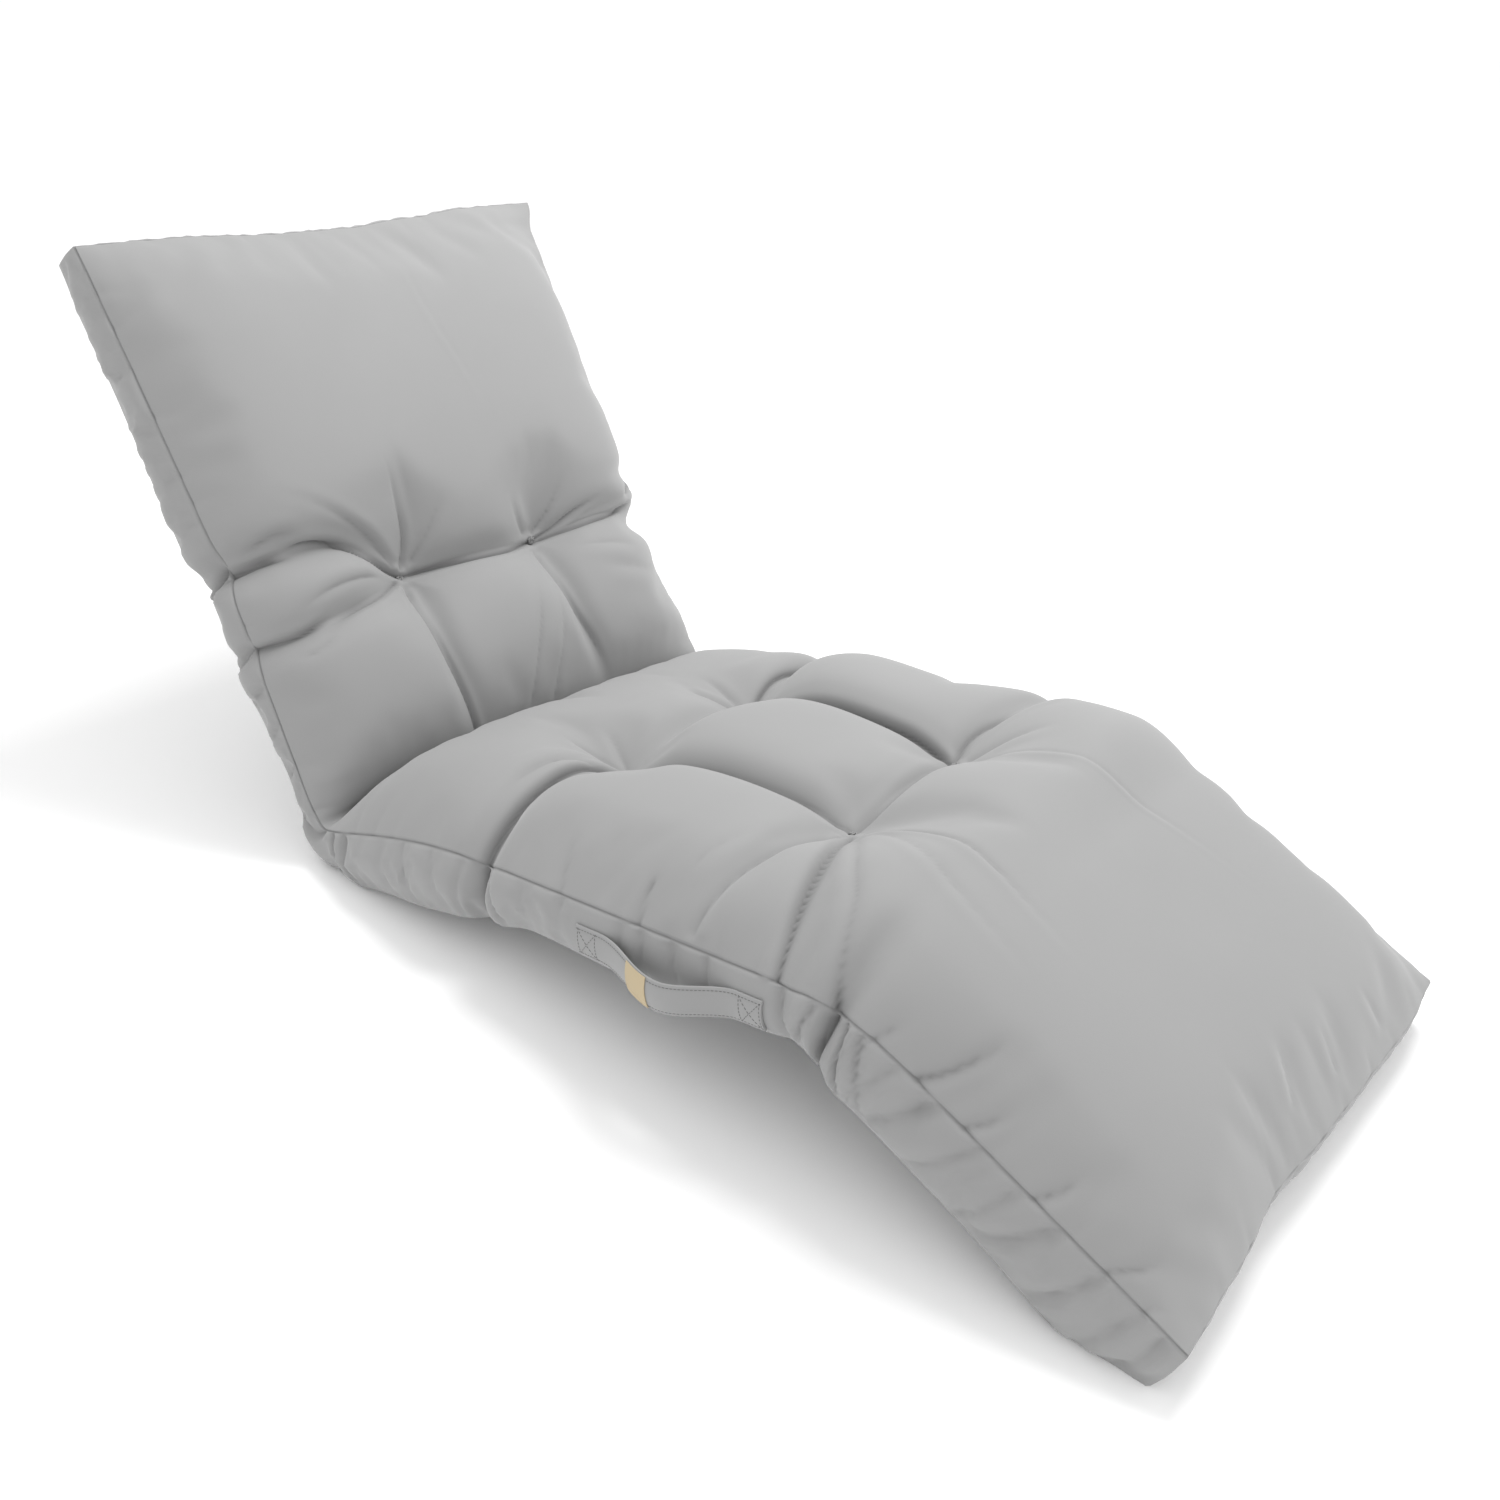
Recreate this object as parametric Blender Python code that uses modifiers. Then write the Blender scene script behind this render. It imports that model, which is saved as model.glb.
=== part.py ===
# Tufted sun lounger cushion with a side carry handle, lying in its raised-back, bent-knee shape.
# Metres, +Z up, +Y towards the head end, X across. The origin is the middle of the footprint.
#
# The cushion is drawn flat first, as a maker cuts it: x across, s along from head to foot, and
# n the height above the upper seam. bend() then lays that flat form along the side profile.

import math

import bmesh
import bpy
import numpy as np
from mathutils import Vector
from mathutils.bvhtree import BVHTree

# Overall sizes
LENGTH = 1.622          # along the upper seam, head to foot
CROWN_UNDER = 0.012     # how far the under panel stands out from its seam
SETTLE = 0.008          # how far its own weight flattens the underside where it lies
CLEARANCE = 0.0003      # gap between pieces that touch

# Half widths between the long seams: 0.600 m in all, but for the stretched corner at the head and hip
HALF_WIDTHS = (
    # s, left, right
    (0.00, 0.300, 0.324),
    (0.035, 0.299, 0.308),
    (0.13, 0.298, 0.303),
    (0.24, 0.298, 0.297),
    (0.34, 0.298, 0.294),
    (0.40, 0.299, 0.291),
    (0.48, 0.300, 0.290),
    (0.57, 0.300, 0.310),
    (0.64, 0.300, 0.318),
    (0.74, 0.300, 0.300),
    (LENGTH, 0.300, 0.300),
)

# Height of the border strip, less what is pulled under at the hip and gathered at the folds
BORDER_HEIGHTS = (
    # s, height
    (0.00, 0.042),
    (0.05, 0.049),
    (0.12, 0.050),
    (0.28, 0.058),
    (0.335, 0.060),
    (0.385, 0.040),
    (0.44, 0.044),
    (0.51, 0.028),
    (0.56, 0.020),
    (0.60, 0.022),
    (0.63, 0.042),
    (0.67, 0.060),
    (0.78, 0.072),
    (0.87, 0.069),
    (0.94, 0.053),
    (1.08, 0.059),
    (1.22, 0.052),
    (1.25, 0.052),
    (1.285, 0.076),
    (1.45, 0.076),
    (1.55, 0.082),
    (LENGTH, 0.056),
)
SIDE_BULGE = 0.20       # how far the stuffed border stands out between its seams, as a share of its height
HEAD_BULGE = 0.006      # the same across the two ends, as a length
FOOT_BULGE = 0.002

# How far the two end seams run past a straight line across
HEAD_RUN = (
    # x, run
    (-0.30, 0.0065),
    (-0.20, 0.0070),
    (-0.05, 0.0015),
    (0.03, 0.0015),
    (0.12, 0.0075),
    (0.22, 0.0145),
    (0.32, 0.0150),
)
FOOT_RUN = (
    # x, run
    (-0.30, 0.0050),
    (-0.20, 0.0010),
    (-0.10, -0.0070),
    (0.00, 0.0000),
    (0.10, 0.0040),
    (0.22, 0.0080),
    (0.30, 0.0030),
)
RUN_FADE = 0.050        # how far in from an end its run is felt

# How far the upper panel rises above its seams
CROWN_HEIGHTS = (
    # s, left half, right half
    (0.00, 0.056, 0.056),
    (0.30, 0.058, 0.056),
    (0.45, 0.058, 0.050),
    (0.58, 0.058, 0.042),
    (0.80, 0.058, 0.040),
    (0.88, 0.060, 0.066),
    (0.96, 0.060, 0.072),
    (1.06, 0.060, 0.064),
    (1.19, 0.062, 0.078),
    (1.26, 0.062, 0.074),
    (1.33, 0.060, 0.044),
    (1.45, 0.060, 0.040),
    (LENGTH, 0.058, 0.040),
)
CROWN_BLEND = 0.5       # width over which the left half's rise turns into the right half's

# Side profile: the slope of the head end, then where the cushion turns, by how much and over what length
HEAD_SLOPE_DEG = -53.35
HIP_AT = 0.622
BENDS = (
    # name, at, turn_deg, over
    ("lumbar", 0.36, -7.5, 0.20),
    ("hip", HIP_AT, 82.7, 0.022),
    ("thigh", 0.80, -13.8, 0.25),
    ("knee", 1.290, -30.5, 0.16),
)

# How the upper panel climbs away from its seams and away from the hip fold
RISE_SIDE = 0.043
RISE_END = 0.060
RISE_HIP = 0.046
SEAM_ROUND = 0.030      # how far a corner or a dropped seam is felt in the panels beside it

# Tufts: three rows of two, each tied with a thread knot
TUFT_ROWS = (
    # name, at, half spacing, share of the crown left at the knot, reach
    ("lumbar", 0.400, 0.098, 0.04, 0.042),
    ("seat", 0.880, 0.098, 0.20, 0.042),
    ("thigh", 1.152, 0.090, 0.38, 0.045),
)
KNOT_RADIUS = 0.0045
KNOT_HEIGHT = 0.005

# Main folds of the upper panel, as curves from one point by way of a middle point to another
FOLDS = (
    # name, start (x, s), middle (x, s), end (x, s), depth share at start and end, half width
    ("lumbar_between", (-0.098, 0.400), (0.0, 0.400), (0.098, 0.404), 0.55, 0.55, 0.028),
    ("lumbar_left_up", (-0.098, 0.400), (-0.17, 0.352), (-0.300, 0.342), 0.50, 0.50, 0.028),
    ("lumbar_left_down", (-0.098, 0.400), (-0.20, 0.419), (-0.300, 0.430), 0.40, 0.30, 0.024),
    ("lumbar_right", (0.098, 0.404), (0.20, 0.396), (0.300, 0.405), 0.50, 0.55, 0.028),
    ("lumbar_hip_left", (-0.098, 0.400), (-0.100, 0.500), (-0.085, HIP_AT), 0.35, 0.15, 0.024),
    ("lumbar_hip_right", (0.098, 0.404), (0.105, 0.510), (0.135, HIP_AT), 0.35, 0.15, 0.024),
    ("seat_between", (-0.098, 0.880), (0.0, 0.880), (0.098, 0.880), 0.45, 0.45, 0.032),
    ("seat_left", (-0.098, 0.880), (-0.20, 0.867), (-0.300, 0.870), 0.50, 0.60, 0.026),
    ("seat_right", (0.098, 0.880), (0.20, 0.870), (0.300, 0.880), 0.55, 0.60, 0.026),
    ("seat_thigh_left", (-0.098, 0.880), (-0.088, 1.020), (-0.090, 1.152), 0.45, 0.45, 0.026),
    ("seat_thigh_right", (0.098, 0.880), (0.105, 1.020), (0.090, 1.152), 0.55, 0.55, 0.026),
    ("thigh_between", (-0.090, 1.152), (0.0, 1.156), (0.090, 1.150), 0.45, 0.45, 0.028),
    ("thigh_left_up", (-0.090, 1.152), (-0.19, 1.142), (-0.300, 1.130), 0.30, 0.10, 0.026),
    ("thigh_left_down", (-0.090, 1.152), (-0.20, 1.195), (-0.300, 1.225), 0.42, 0.42, 0.026),
    ("thigh_right", (0.090, 1.150), (0.19, 1.160), (0.300, 1.190), 0.50, 0.18, 0.026),
)

# Where a fold runs over a long seam and gathers the border
PINCHES = (
    # side, at, drawn in, seam drop, half width
    (-1, 0.342, 0.014, 0.012, 0.022),
    (-1, 0.430, 0.006, 0.005, 0.018),
    (-1, HIP_AT, 0.003, 0.000, 0.020),
    (-1, 0.870, 0.015, 0.013, 0.020),
    (-1, 1.235, 0.004, 0.005, 0.014),
    (-1, 1.280, 0.012, 0.010, 0.017),
    (1, 0.352, 0.006, 0.006, 0.017),
    (1, 0.418, 0.014, 0.012, 0.021),
    (1, 0.880, 0.014, 0.010, 0.024),
    (1, 1.190, 0.003, 0.002, 0.022),
)

# Carry handle of folded fabric on the left border, sewn down at both ends, with a woven label
HANDLE_FROM = 1.010
HANDLE_TO = 1.216
HANDLE_WIDTH = 0.030
HANDLE_THICKNESS = 0.0025
HANDLE_DROP = 0.031     # middle of the strap below the upper seam
HANDLE_BOW = 0.028      # how far its middle stands off the border
HANDLE_SEWN = 0.026     # length sewn down at each end
HANDLE_LEAVE = 0.60     # share of the free length in which it leaves the border
HANDLE_RETURN = 0.40    # share of the free length in which it comes back to it
LABEL_AT = 0.45         # middle of the label along the strap, from its head-side end
LABEL_LENGTH = 0.030
LABEL_INSET = 0.0008    # label edge to strap edge
LABEL_THICKNESS = 0.0008

# Steps of the meshes
ACROSS = 26
ALONG = 96
UP = 4
SIDE_CROWDING = 0.640   # puts the steps closer together towards the side seams, one of them on the tufts
STEP_CROWDING = (
    # at, extra density, spread
    (0.380, 0.8, 0.060),
    (HIP_AT, 4.0, 0.032),
    (0.880, 0.8, 0.050),
    (1.152, 0.8, 0.050),
    (1.290, 0.4, 0.060),
    (LENGTH, 2.0, 0.030),
)
HANDLE_STEPS = 40
HANDLE_STEPS_ACROSS = 4
KNOT_SEGMENTS = 10
KNOT_RINGS = 6

FABRIC_COLOUR = (0.41, 0.41, 0.41, 1.0)
THREAD_COLOUR = (0.36, 0.36, 0.36, 1.0)
LABEL_COLOUR = (0.66, 0.55, 0.40, 1.0)


def smooth_step(t):
    t = np.clip(t, 0.0, 1.0)
    return t * t * (3.0 - 2.0 * t)


def eased(at, rows, column=1):
    """A table's value at a place, easing from one row to the next."""
    places = np.array([row[0] for row in rows])
    values = np.array([row[column] for row in rows])
    low = np.clip(np.searchsorted(places, at, side="right") - 1, 0, len(rows) - 2)
    share = smooth_step((at - places[low]) / (places[low + 1] - places[low]))
    return values[low] + (values[low + 1] - values[low]) * share


def side_profile(steps=4000):
    """Points (y, z) of the upper seam and its slope, every fraction of a millimetre from head to foot."""
    s = np.linspace(0.0, LENGTH, steps)
    slope = np.full(steps, math.radians(HEAD_SLOPE_DEG))
    for _, at, turn_deg, over in BENDS:
        slope += math.radians(turn_deg) * smooth_step((s - at) / over + 0.5)
    ds = s[1] - s[0]
    y = -np.concatenate(([0.0], np.cumsum(np.cos(slope[:-1]) * ds)))
    z = np.concatenate(([0.0], np.cumsum(np.sin(slope[:-1]) * ds)))
    return s, y, z, slope


PROFILE = side_profile()


def end_run(x, s):
    """How far the pull of the two end seams moves a point along."""
    at_head = np.exp(-np.maximum(s, 0.0) / RUN_FADE)
    at_foot = np.exp(-np.maximum(LENGTH - s, 0.0) / RUN_FADE)
    return eased(x, FOOT_RUN) * at_foot - eased(x, HEAD_RUN) * at_head


def bend(x, s, n):
    """Lays flat points (across, along, height) on the side profile, as an array of (x, y, z)."""
    fine_s, fine_y, fine_z, fine_slope = PROFILE
    s = s + end_run(x, s)
    on = np.clip(s, 0.0, LENGTH)
    past = s - on
    slope = np.interp(on, fine_s, fine_slope)
    y = np.interp(on, fine_s, fine_y) - past * np.cos(slope) + n * np.sin(slope)
    z = np.interp(on, fine_s, fine_z) + past * np.sin(slope) + n * np.cos(slope)
    return np.stack([x, y, z], axis=-1)


def nearest_on_fold(x, s, start, middle, end, steps=24):
    """Distance to a fold, a quadratic curve through its middle point, and the share along it."""
    t = np.linspace(0.0, 1.0, steps)
    start, middle, end = (np.array(p) for p in (start, middle, end))
    pull = 2.0 * middle - 0.5 * (start + end)
    curve = np.outer((1.0 - t) ** 2, start) + np.outer(2.0 * t * (1.0 - t), pull) + np.outer(t**2, end)
    nearest = np.full(np.shape(x), np.inf)
    share = np.zeros(np.shape(x))
    for step, (a, b) in enumerate(zip(curve[:-1], curve[1:])):
        run = b - a
        along = np.clip(((x - a[0]) * run[0] + (s - a[1]) * run[1]) / (run @ run), 0.0, 1.0)
        away = np.hypot(x - a[0] - along * run[0], s - a[1] - along * run[1])
        share = np.where(away < nearest, (step + along) / (steps - 1), share)
        nearest = np.minimum(nearest, away)
    return nearest, share


def pinched(side, s):
    """How far a long seam is drawn in at s, and how far it drops."""
    drawn_in = np.zeros(np.shape(s))
    drop = np.zeros(np.shape(s))
    for pinch_side, at, pinch_in, pinch_drop, half_width in PINCHES:
        if pinch_side == side:
            share = np.exp(-(((s - at) / half_width) ** 2))
            drawn_in = drawn_in + pinch_in * share
            drop = drop + pinch_drop * share
    return drawn_in, drop


def seam_x(x, s):
    """Half width between the long seams, on the side that x is on."""
    left = eased(s, HALF_WIDTHS, 1) - pinched(-1, s)[0]
    right = eased(s, HALF_WIDTHS, 2) - pinched(1, s)[0]
    return np.where(x < 0, left, right)


def seam_drop(x, s):
    return np.where(x < 0, pinched(-1, s)[1], pinched(1, s)[1])


def border_height(s):
    return eased(s, BORDER_HEIGHTS)


def rise(distance, over):
    return 1.0 - np.exp(-np.maximum(distance, 0.0) / over)


def upper_height(x, s):
    """Height of the upper panel above its seam: the stuffed crown, less the tufts and folds."""
    inside = seam_x(x, s) - np.abs(x)
    to_right = smooth_step(x / CROWN_BLEND + 0.5)
    height = eased(s, CROWN_HEIGHTS, 1) * (1.0 - to_right) + eased(s, CROWN_HEIGHTS, 2) * to_right
    height *= rise(inside, RISE_SIDE)
    height *= rise(s, RISE_END) * rise(LENGTH - s, RISE_END) * rise(np.abs(s - HIP_AT), RISE_HIP)
    full = np.ones(np.shape(x))
    for _, at, half_spacing, _, reach in TUFT_ROWS:
        for side in (-1, 1):
            away = np.hypot(x - side * half_spacing, s - at)
            full = full * (1.0 - np.exp(-away / reach))
    for _, start, middle, end, start_depth, end_depth, half_width in FOLDS:
        away, share = nearest_on_fold(x, s, start, middle, end)
        depth = start_depth + (end_depth - start_depth) * share
        full = full * (1.0 - depth * np.exp(-((away / half_width) ** 2)))
    left_at_knots = np.interp(s, [row[1] for row in TUFT_ROWS], [row[3] for row in TUFT_ROWS])
    height *= left_at_knots + (1.0 - left_at_knots) * full
    return height - seam_drop(x, s) * np.exp(-inside / SEAM_ROUND)


def under_height(x, s):
    inside = seam_x(x, s) - np.abs(x)
    crown = rise(inside, RISE_SIDE) * rise(s, RISE_END) * rise(LENGTH - s, RISE_END)
    return -border_height(s) - CROWN_UNDER * crown


def side_swell(s, up):
    """How far the border stands out, from 0 at the lower seam (up 0) to 0 at the upper seam (up 1)."""
    return SIDE_BULGE * border_height(s) * 4.0 * up * (1.0 - up)


def border_point(x, s, up):
    """A flat point (x, s, n) of the border, up from 0 at its lower seam to 1 at its upper seam."""
    on_long_side = np.isclose(np.abs(x), seam_x(x, s))
    near_end = np.minimum(rise(s, SEAM_ROUND), rise(LENGTH - s, SEAM_ROUND))
    near_side = rise(seam_x(x, s) - np.abs(x), SEAM_ROUND)
    out = np.where(on_long_side, side_swell(s, up) * near_end, 0.0)
    end_swell = np.where(s > LENGTH / 2, FOOT_BULGE, HEAD_BULGE) * 4.0 * up * (1.0 - up)
    past = np.where(on_long_side, 0.0, end_swell * near_side)
    low = -border_height(s)
    high = -seam_drop(x, s)
    return x + np.sign(x) * out, s + np.where(s > LENGTH / 2, past, -past), low + (high - low) * up


def steps_across(share):
    """Turns even shares, -1 to 1, into places across the width as shares of its half."""
    return np.sin(share * SIDE_CROWDING) / math.sin(SIDE_CROWDING)


def steps_along(share):
    """Turns even shares, 0 to 1, into places along the length, one of them on each tuft row and the hip."""
    fine = np.linspace(0.0, LENGTH, 2000)
    density = np.ones_like(fine)
    for at, extra, spread in STEP_CROWDING:
        density += extra * np.exp(-(((fine - at) / spread) ** 2))
    total = np.concatenate(([0.0], np.cumsum(density[:-1])))
    lines = np.interp(np.linspace(0.0, 1.0, ALONG + 1), total / total[-1], fine)
    for at in [HIP_AT] + [row[1] for row in TUFT_ROWS]:
        lines[np.argmin(np.abs(lines - at))] = at
    return np.interp(share, np.linspace(0.0, 1.0, ALONG + 1), lines)


def gridded_cube():
    """A unit cube cut into even steps along each of its three directions."""
    bm = bmesh.new()
    bmesh.ops.create_cube(bm, size=1.0)
    for axis, steps in enumerate((ACROSS, ALONG, UP)):
        edges = [e for e in bm.edges if abs((e.verts[1].co - e.verts[0].co)[axis]) > 0.5]
        bmesh.ops.subdivide_edges(bm, edges=edges, cuts=steps - 1, use_grid_fill=True)
    return bm


def cushion_points(bm):
    unit = np.array([v.co for v in bm.verts])
    up = unit[:, 2] + 0.5
    s = steps_along(0.5 - unit[:, 1])
    across = steps_across(unit[:, 0] * 2.0)
    x = across * seam_x(across, s)
    edge_x, edge_s, edge_n = border_point(x, s, up)
    on_top = np.isclose(up, 1.0)
    on_panel = on_top | np.isclose(up, 0.0)
    panel_n = np.where(on_top, upper_height(x, s), under_height(x, s))
    return bend(
        np.where(on_panel, x, edge_x), np.where(on_panel, s, edge_s), np.where(on_panel, panel_n, edge_n)
    )


def make_cushion():
    bm = gridded_cube()
    places = cushion_points(bm)
    floor = places[:, 2].min() + SETTLE
    places[:, 2] = np.maximum(places[:, 2], floor)
    for vert, place in zip(bm.verts, places):
        vert.co = place
    bmesh.ops.recalc_face_normals(bm, faces=bm.faces)
    return bm, floor


def handle_offset(s):
    """How far the strap stands off the border at s: nothing where it is sewn, the bow between."""
    free_from = HANDLE_FROM + HANDLE_SEWN
    free_length = HANDLE_TO - HANDLE_FROM - 2.0 * HANDLE_SEWN
    share = (s - free_from) / free_length
    return HANDLE_BOW * smooth_step(share / HANDLE_LEAVE) * smooth_step((1.0 - share) / HANDLE_RETURN)


def strap_sheet(start, end, width, lift, steps):
    """An open sheet along the left border and the strap's bow, lifted along its own outward normals."""
    bm = bmesh.new()
    bmesh.ops.create_grid(bm, x_segments=steps, y_segments=HANDLE_STEPS_ACROSS, size=0.5)
    for vert in bm.verts:
        s = start + (end - start) * (vert.co.x + 0.5)
        n = -HANDLE_DROP + width * vert.co.y
        face = seam_x(-1.0, s) + side_swell(s, 1.0 + n / border_height(s))
        vert.co = bend(-(face + CLEARANCE + handle_offset(s)), s, n)
    bm.normal_update()
    if bm.faces[:][0].normal.x > 0.0:
        bmesh.ops.reverse_faces(bm, faces=bm.faces)
        bm.normal_update()
    for vert in bm.verts:
        vert.co += vert.normal * lift
    return bm


def add_piece(name, bm, material, pieces, parent):
    mesh = bpy.data.meshes.new(name)
    bm.to_mesh(mesh)
    bm.free()
    mesh.materials.append(material)
    mesh.shade_smooth()
    obj = bpy.data.objects.new(name, mesh)
    obj.parent = parent
    pieces.objects.link(obj)
    return obj


def thicken(obj, thickness):
    """Gives an open sheet its thickness, on the side that its faces point to."""
    wall = obj.modifiers.new("thickness", "SOLIDIFY")
    wall.thickness = thickness
    wall.offset = 1.0


def make_knot(tree, x, s):
    """A thread knot, lowered along the panel's normal until it just clears the bottom of its tuft."""
    bm = bmesh.new()
    bmesh.ops.create_uvsphere(bm, u_segments=KNOT_SEGMENTS, v_segments=KNOT_RINGS, radius=KNOT_RADIUS)
    fine_s, _, _, fine_slope = PROFILE
    slope = float(np.interp(s, fine_s, fine_slope))
    normal = Vector((0.0, math.sin(slope), math.cos(slope)))
    start = Vector(bend(x, s, eased(s, CROWN_HEIGHTS, 2)))
    turn = Vector((0.0, 0.0, 1.0)).rotation_difference(normal)
    for vert in bm.verts:
        vert.co.z *= KNOT_HEIGHT / (2.0 * KNOT_RADIUS)
        vert.co = start + turn @ vert.co
    drops = [tree.ray_cast(vert.co, -normal)[3] for vert in bm.verts]
    for vert in bm.verts:
        vert.co -= normal * (min(drops) - CLEARANCE)
    return bm


def plain_material(name, colour, roughness):
    material = bpy.data.materials.new(name)
    material.use_nodes = True
    shader = material.node_tree.nodes["Principled BSDF"]
    shader.inputs["Base Color"].default_value = colour
    shader.inputs["Roughness"].default_value = roughness
    shader.inputs["Metallic"].default_value = 0.0
    return material


def main():
    for obj in list(bpy.data.objects):
        bpy.data.objects.remove(obj)
    pieces = bpy.data.collections.new("lounger_cushion")
    bpy.context.scene.collection.children.link(pieces)
    frame = bpy.data.objects.new("frame", None)
    pieces.objects.link(frame)
    fabric = plain_material("grey_polyester", FABRIC_COLOUR, 0.85)
    thread = plain_material("grey_thread", THREAD_COLOUR, 0.80)
    woven = plain_material("beige_woven_label", LABEL_COLOUR, 0.90)

    cushion_bm, floor = make_cushion()
    tree = BVHTree.FromBMesh(cushion_bm)
    cushion = add_piece("cushion", cushion_bm, fabric, pieces, frame)

    strap = strap_sheet(HANDLE_FROM, HANDLE_TO, HANDLE_WIDTH, 0.0, HANDLE_STEPS)
    handle = add_piece("carry_handle", strap, fabric, pieces, frame)
    thicken(handle, HANDLE_THICKNESS)
    middle = HANDLE_FROM + LABEL_AT * (HANDLE_TO - HANDLE_FROM)
    patch = strap_sheet(
        middle - LABEL_LENGTH / 2,
        middle + LABEL_LENGTH / 2,
        HANDLE_WIDTH - 2.0 * LABEL_INSET,
        HANDLE_THICKNESS + CLEARANCE,
        HANDLE_STEPS // 4,
    )
    label = add_piece("handle_label", patch, woven, pieces, frame)
    thicken(label, LABEL_THICKNESS)

    for row, at, half_spacing, _, _ in TUFT_ROWS:
        for side, word in ((-1, "left"), (1, "right")):
            knot = make_knot(tree, side * half_spacing, at)
            add_piece(f"tuft_knot_{row}_{word}", knot, thread, pieces, frame)

    # The footprint's middle goes to the origin, with the flattened underside on the ground
    low = np.array(cushion.data.vertices[0].co)
    high = low.copy()
    for obj in (cushion, handle, label):
        points = np.array([v.co for v in obj.data.vertices])
        low = np.minimum(low, points.min(axis=0))
        high = np.maximum(high, points.max(axis=0))
    frame.location = (-(low[0] + high[0]) / 2, -(low[1] + high[1]) / 2, -floor)


main()
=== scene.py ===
# The looks of a tufted sun lounger cushion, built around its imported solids.
# The cover is worked out flat, x across and s along from head to foot, then laid on the side profile.

import math

import bmesh
import bpy
import numpy as np
from mathutils import Matrix, Vector


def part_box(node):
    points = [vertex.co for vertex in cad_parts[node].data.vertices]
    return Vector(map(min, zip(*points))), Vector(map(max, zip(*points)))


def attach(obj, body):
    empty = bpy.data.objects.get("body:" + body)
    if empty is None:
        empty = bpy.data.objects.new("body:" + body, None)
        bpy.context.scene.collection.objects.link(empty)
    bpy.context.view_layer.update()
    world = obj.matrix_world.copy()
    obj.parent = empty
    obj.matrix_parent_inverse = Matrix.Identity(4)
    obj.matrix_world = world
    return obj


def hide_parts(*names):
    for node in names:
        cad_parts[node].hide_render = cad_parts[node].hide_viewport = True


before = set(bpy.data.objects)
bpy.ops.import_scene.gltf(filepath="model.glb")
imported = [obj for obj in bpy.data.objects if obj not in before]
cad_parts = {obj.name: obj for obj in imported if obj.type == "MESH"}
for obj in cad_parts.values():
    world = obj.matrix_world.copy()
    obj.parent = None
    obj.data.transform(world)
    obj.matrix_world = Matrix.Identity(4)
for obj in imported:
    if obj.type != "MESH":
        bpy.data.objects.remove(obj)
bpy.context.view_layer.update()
print("frame loaded")


# camera, floor and light
viewValues = {
    "place": (-1.0811, -0.8100, 0.8816),
    "aim": (0.1206, 0.0511, 0.0836),
    "rollDeg": 5.93,
    "lens": 35.22,           # on Blender's 36 mm wide sensor
    "floorSize": 120.0,
    "floorColour": "ffffff",
    "floorRoughness": 0.9,
    "worldColour": "ffffff",
    "worldStrength": 1.03,
    "lamps": (
        # name, place, aim, size, watts
        ("overheadSoftbox", (0.9, 0.0, 2.3), (0.0, 0.0, 0.1), 1.1, 34.0),
        ("cameraSideFill", (-2.2, -1.9, 1.3), (0.0, 0.0, 0.2), 1.4, 3.0),
    ),
}


def hexToLinear(code):
    channels = [int(code[i : i + 2], 16) / 255.0 for i in (0, 2, 4)]
    return tuple(c / 12.92 if c <= 0.04045 else ((c + 0.055) / 1.055) ** 2.4 for c in channels) + (1.0,)


def addNode(tree, kind, settings=None, links=None):
    # settings are node attributes or socket values; links join input sockets to other nodes' outputs
    node = tree.nodes.new(kind)
    for key, value in (settings or {}).items():
        if isinstance(key, str) and hasattr(node, key) and key not in node.inputs:
            setattr(node, key, value)
        else:
            node.inputs[key].default_value = value
    for key, socket in (links or {}).items():
        tree.links.new(socket, node.inputs[key])
    return node


def makeCamera():
    camera = bpy.data.objects.new("camera", bpy.data.cameras.new("camera"))
    bpy.context.scene.collection.objects.link(camera)
    camera.data.lens = viewValues["lens"]
    place = Vector(viewValues["place"])
    forward = (Vector(viewValues["aim"]) - place).normalized()
    level = forward.to_track_quat("-Z", "Y").to_matrix()
    roll = Matrix.Rotation(math.radians(viewValues["rollDeg"]), 3, "Z")
    camera.matrix_world = Matrix.Translation(place) @ (level @ roll).to_4x4()
    bpy.context.scene.camera = camera


def makeStage():
    bm = bmesh.new()
    bmesh.ops.create_grid(bm, x_segments=1, y_segments=1, size=viewValues["floorSize"] / 2)
    mesh = bpy.data.meshes.new("floor")
    bm.to_mesh(mesh)
    bm.free()
    floor = bpy.data.objects.new("floor", mesh)
    bpy.context.scene.collection.objects.link(floor)
    paint = bpy.data.materials.new("paleStudioFloor")
    paint.use_nodes = True
    shader = paint.node_tree.nodes["Principled BSDF"]
    shader.inputs["Base Color"].default_value = hexToLinear(viewValues["floorColour"])
    shader.inputs["Roughness"].default_value = viewValues["floorRoughness"]
    mesh.materials.append(paint)

    world = bpy.data.worlds.new("studio")
    world.use_nodes = True
    sky = world.node_tree.nodes["Background"]
    sky.inputs["Color"].default_value = hexToLinear(viewValues["worldColour"])
    sky.inputs["Strength"].default_value = viewValues["worldStrength"]
    bpy.context.scene.world = world
    for name, place, aim, size, watts in viewValues["lamps"]:
        light = bpy.data.lights.new(name, "AREA")
        light.size = size
        light.energy = watts
        lamp = bpy.data.objects.new(name, light)
        bpy.context.scene.collection.objects.link(lamp)
        turn = (Vector(aim) - Vector(place)).to_track_quat("-Z", "Y")
        lamp.matrix_world = Matrix.Translation(place) @ turn.to_matrix().to_4x4()
    bpy.context.scene.view_settings.view_transform = "Standard"


makeCamera()
makeStage()
print("camera, floor and light made")


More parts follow.
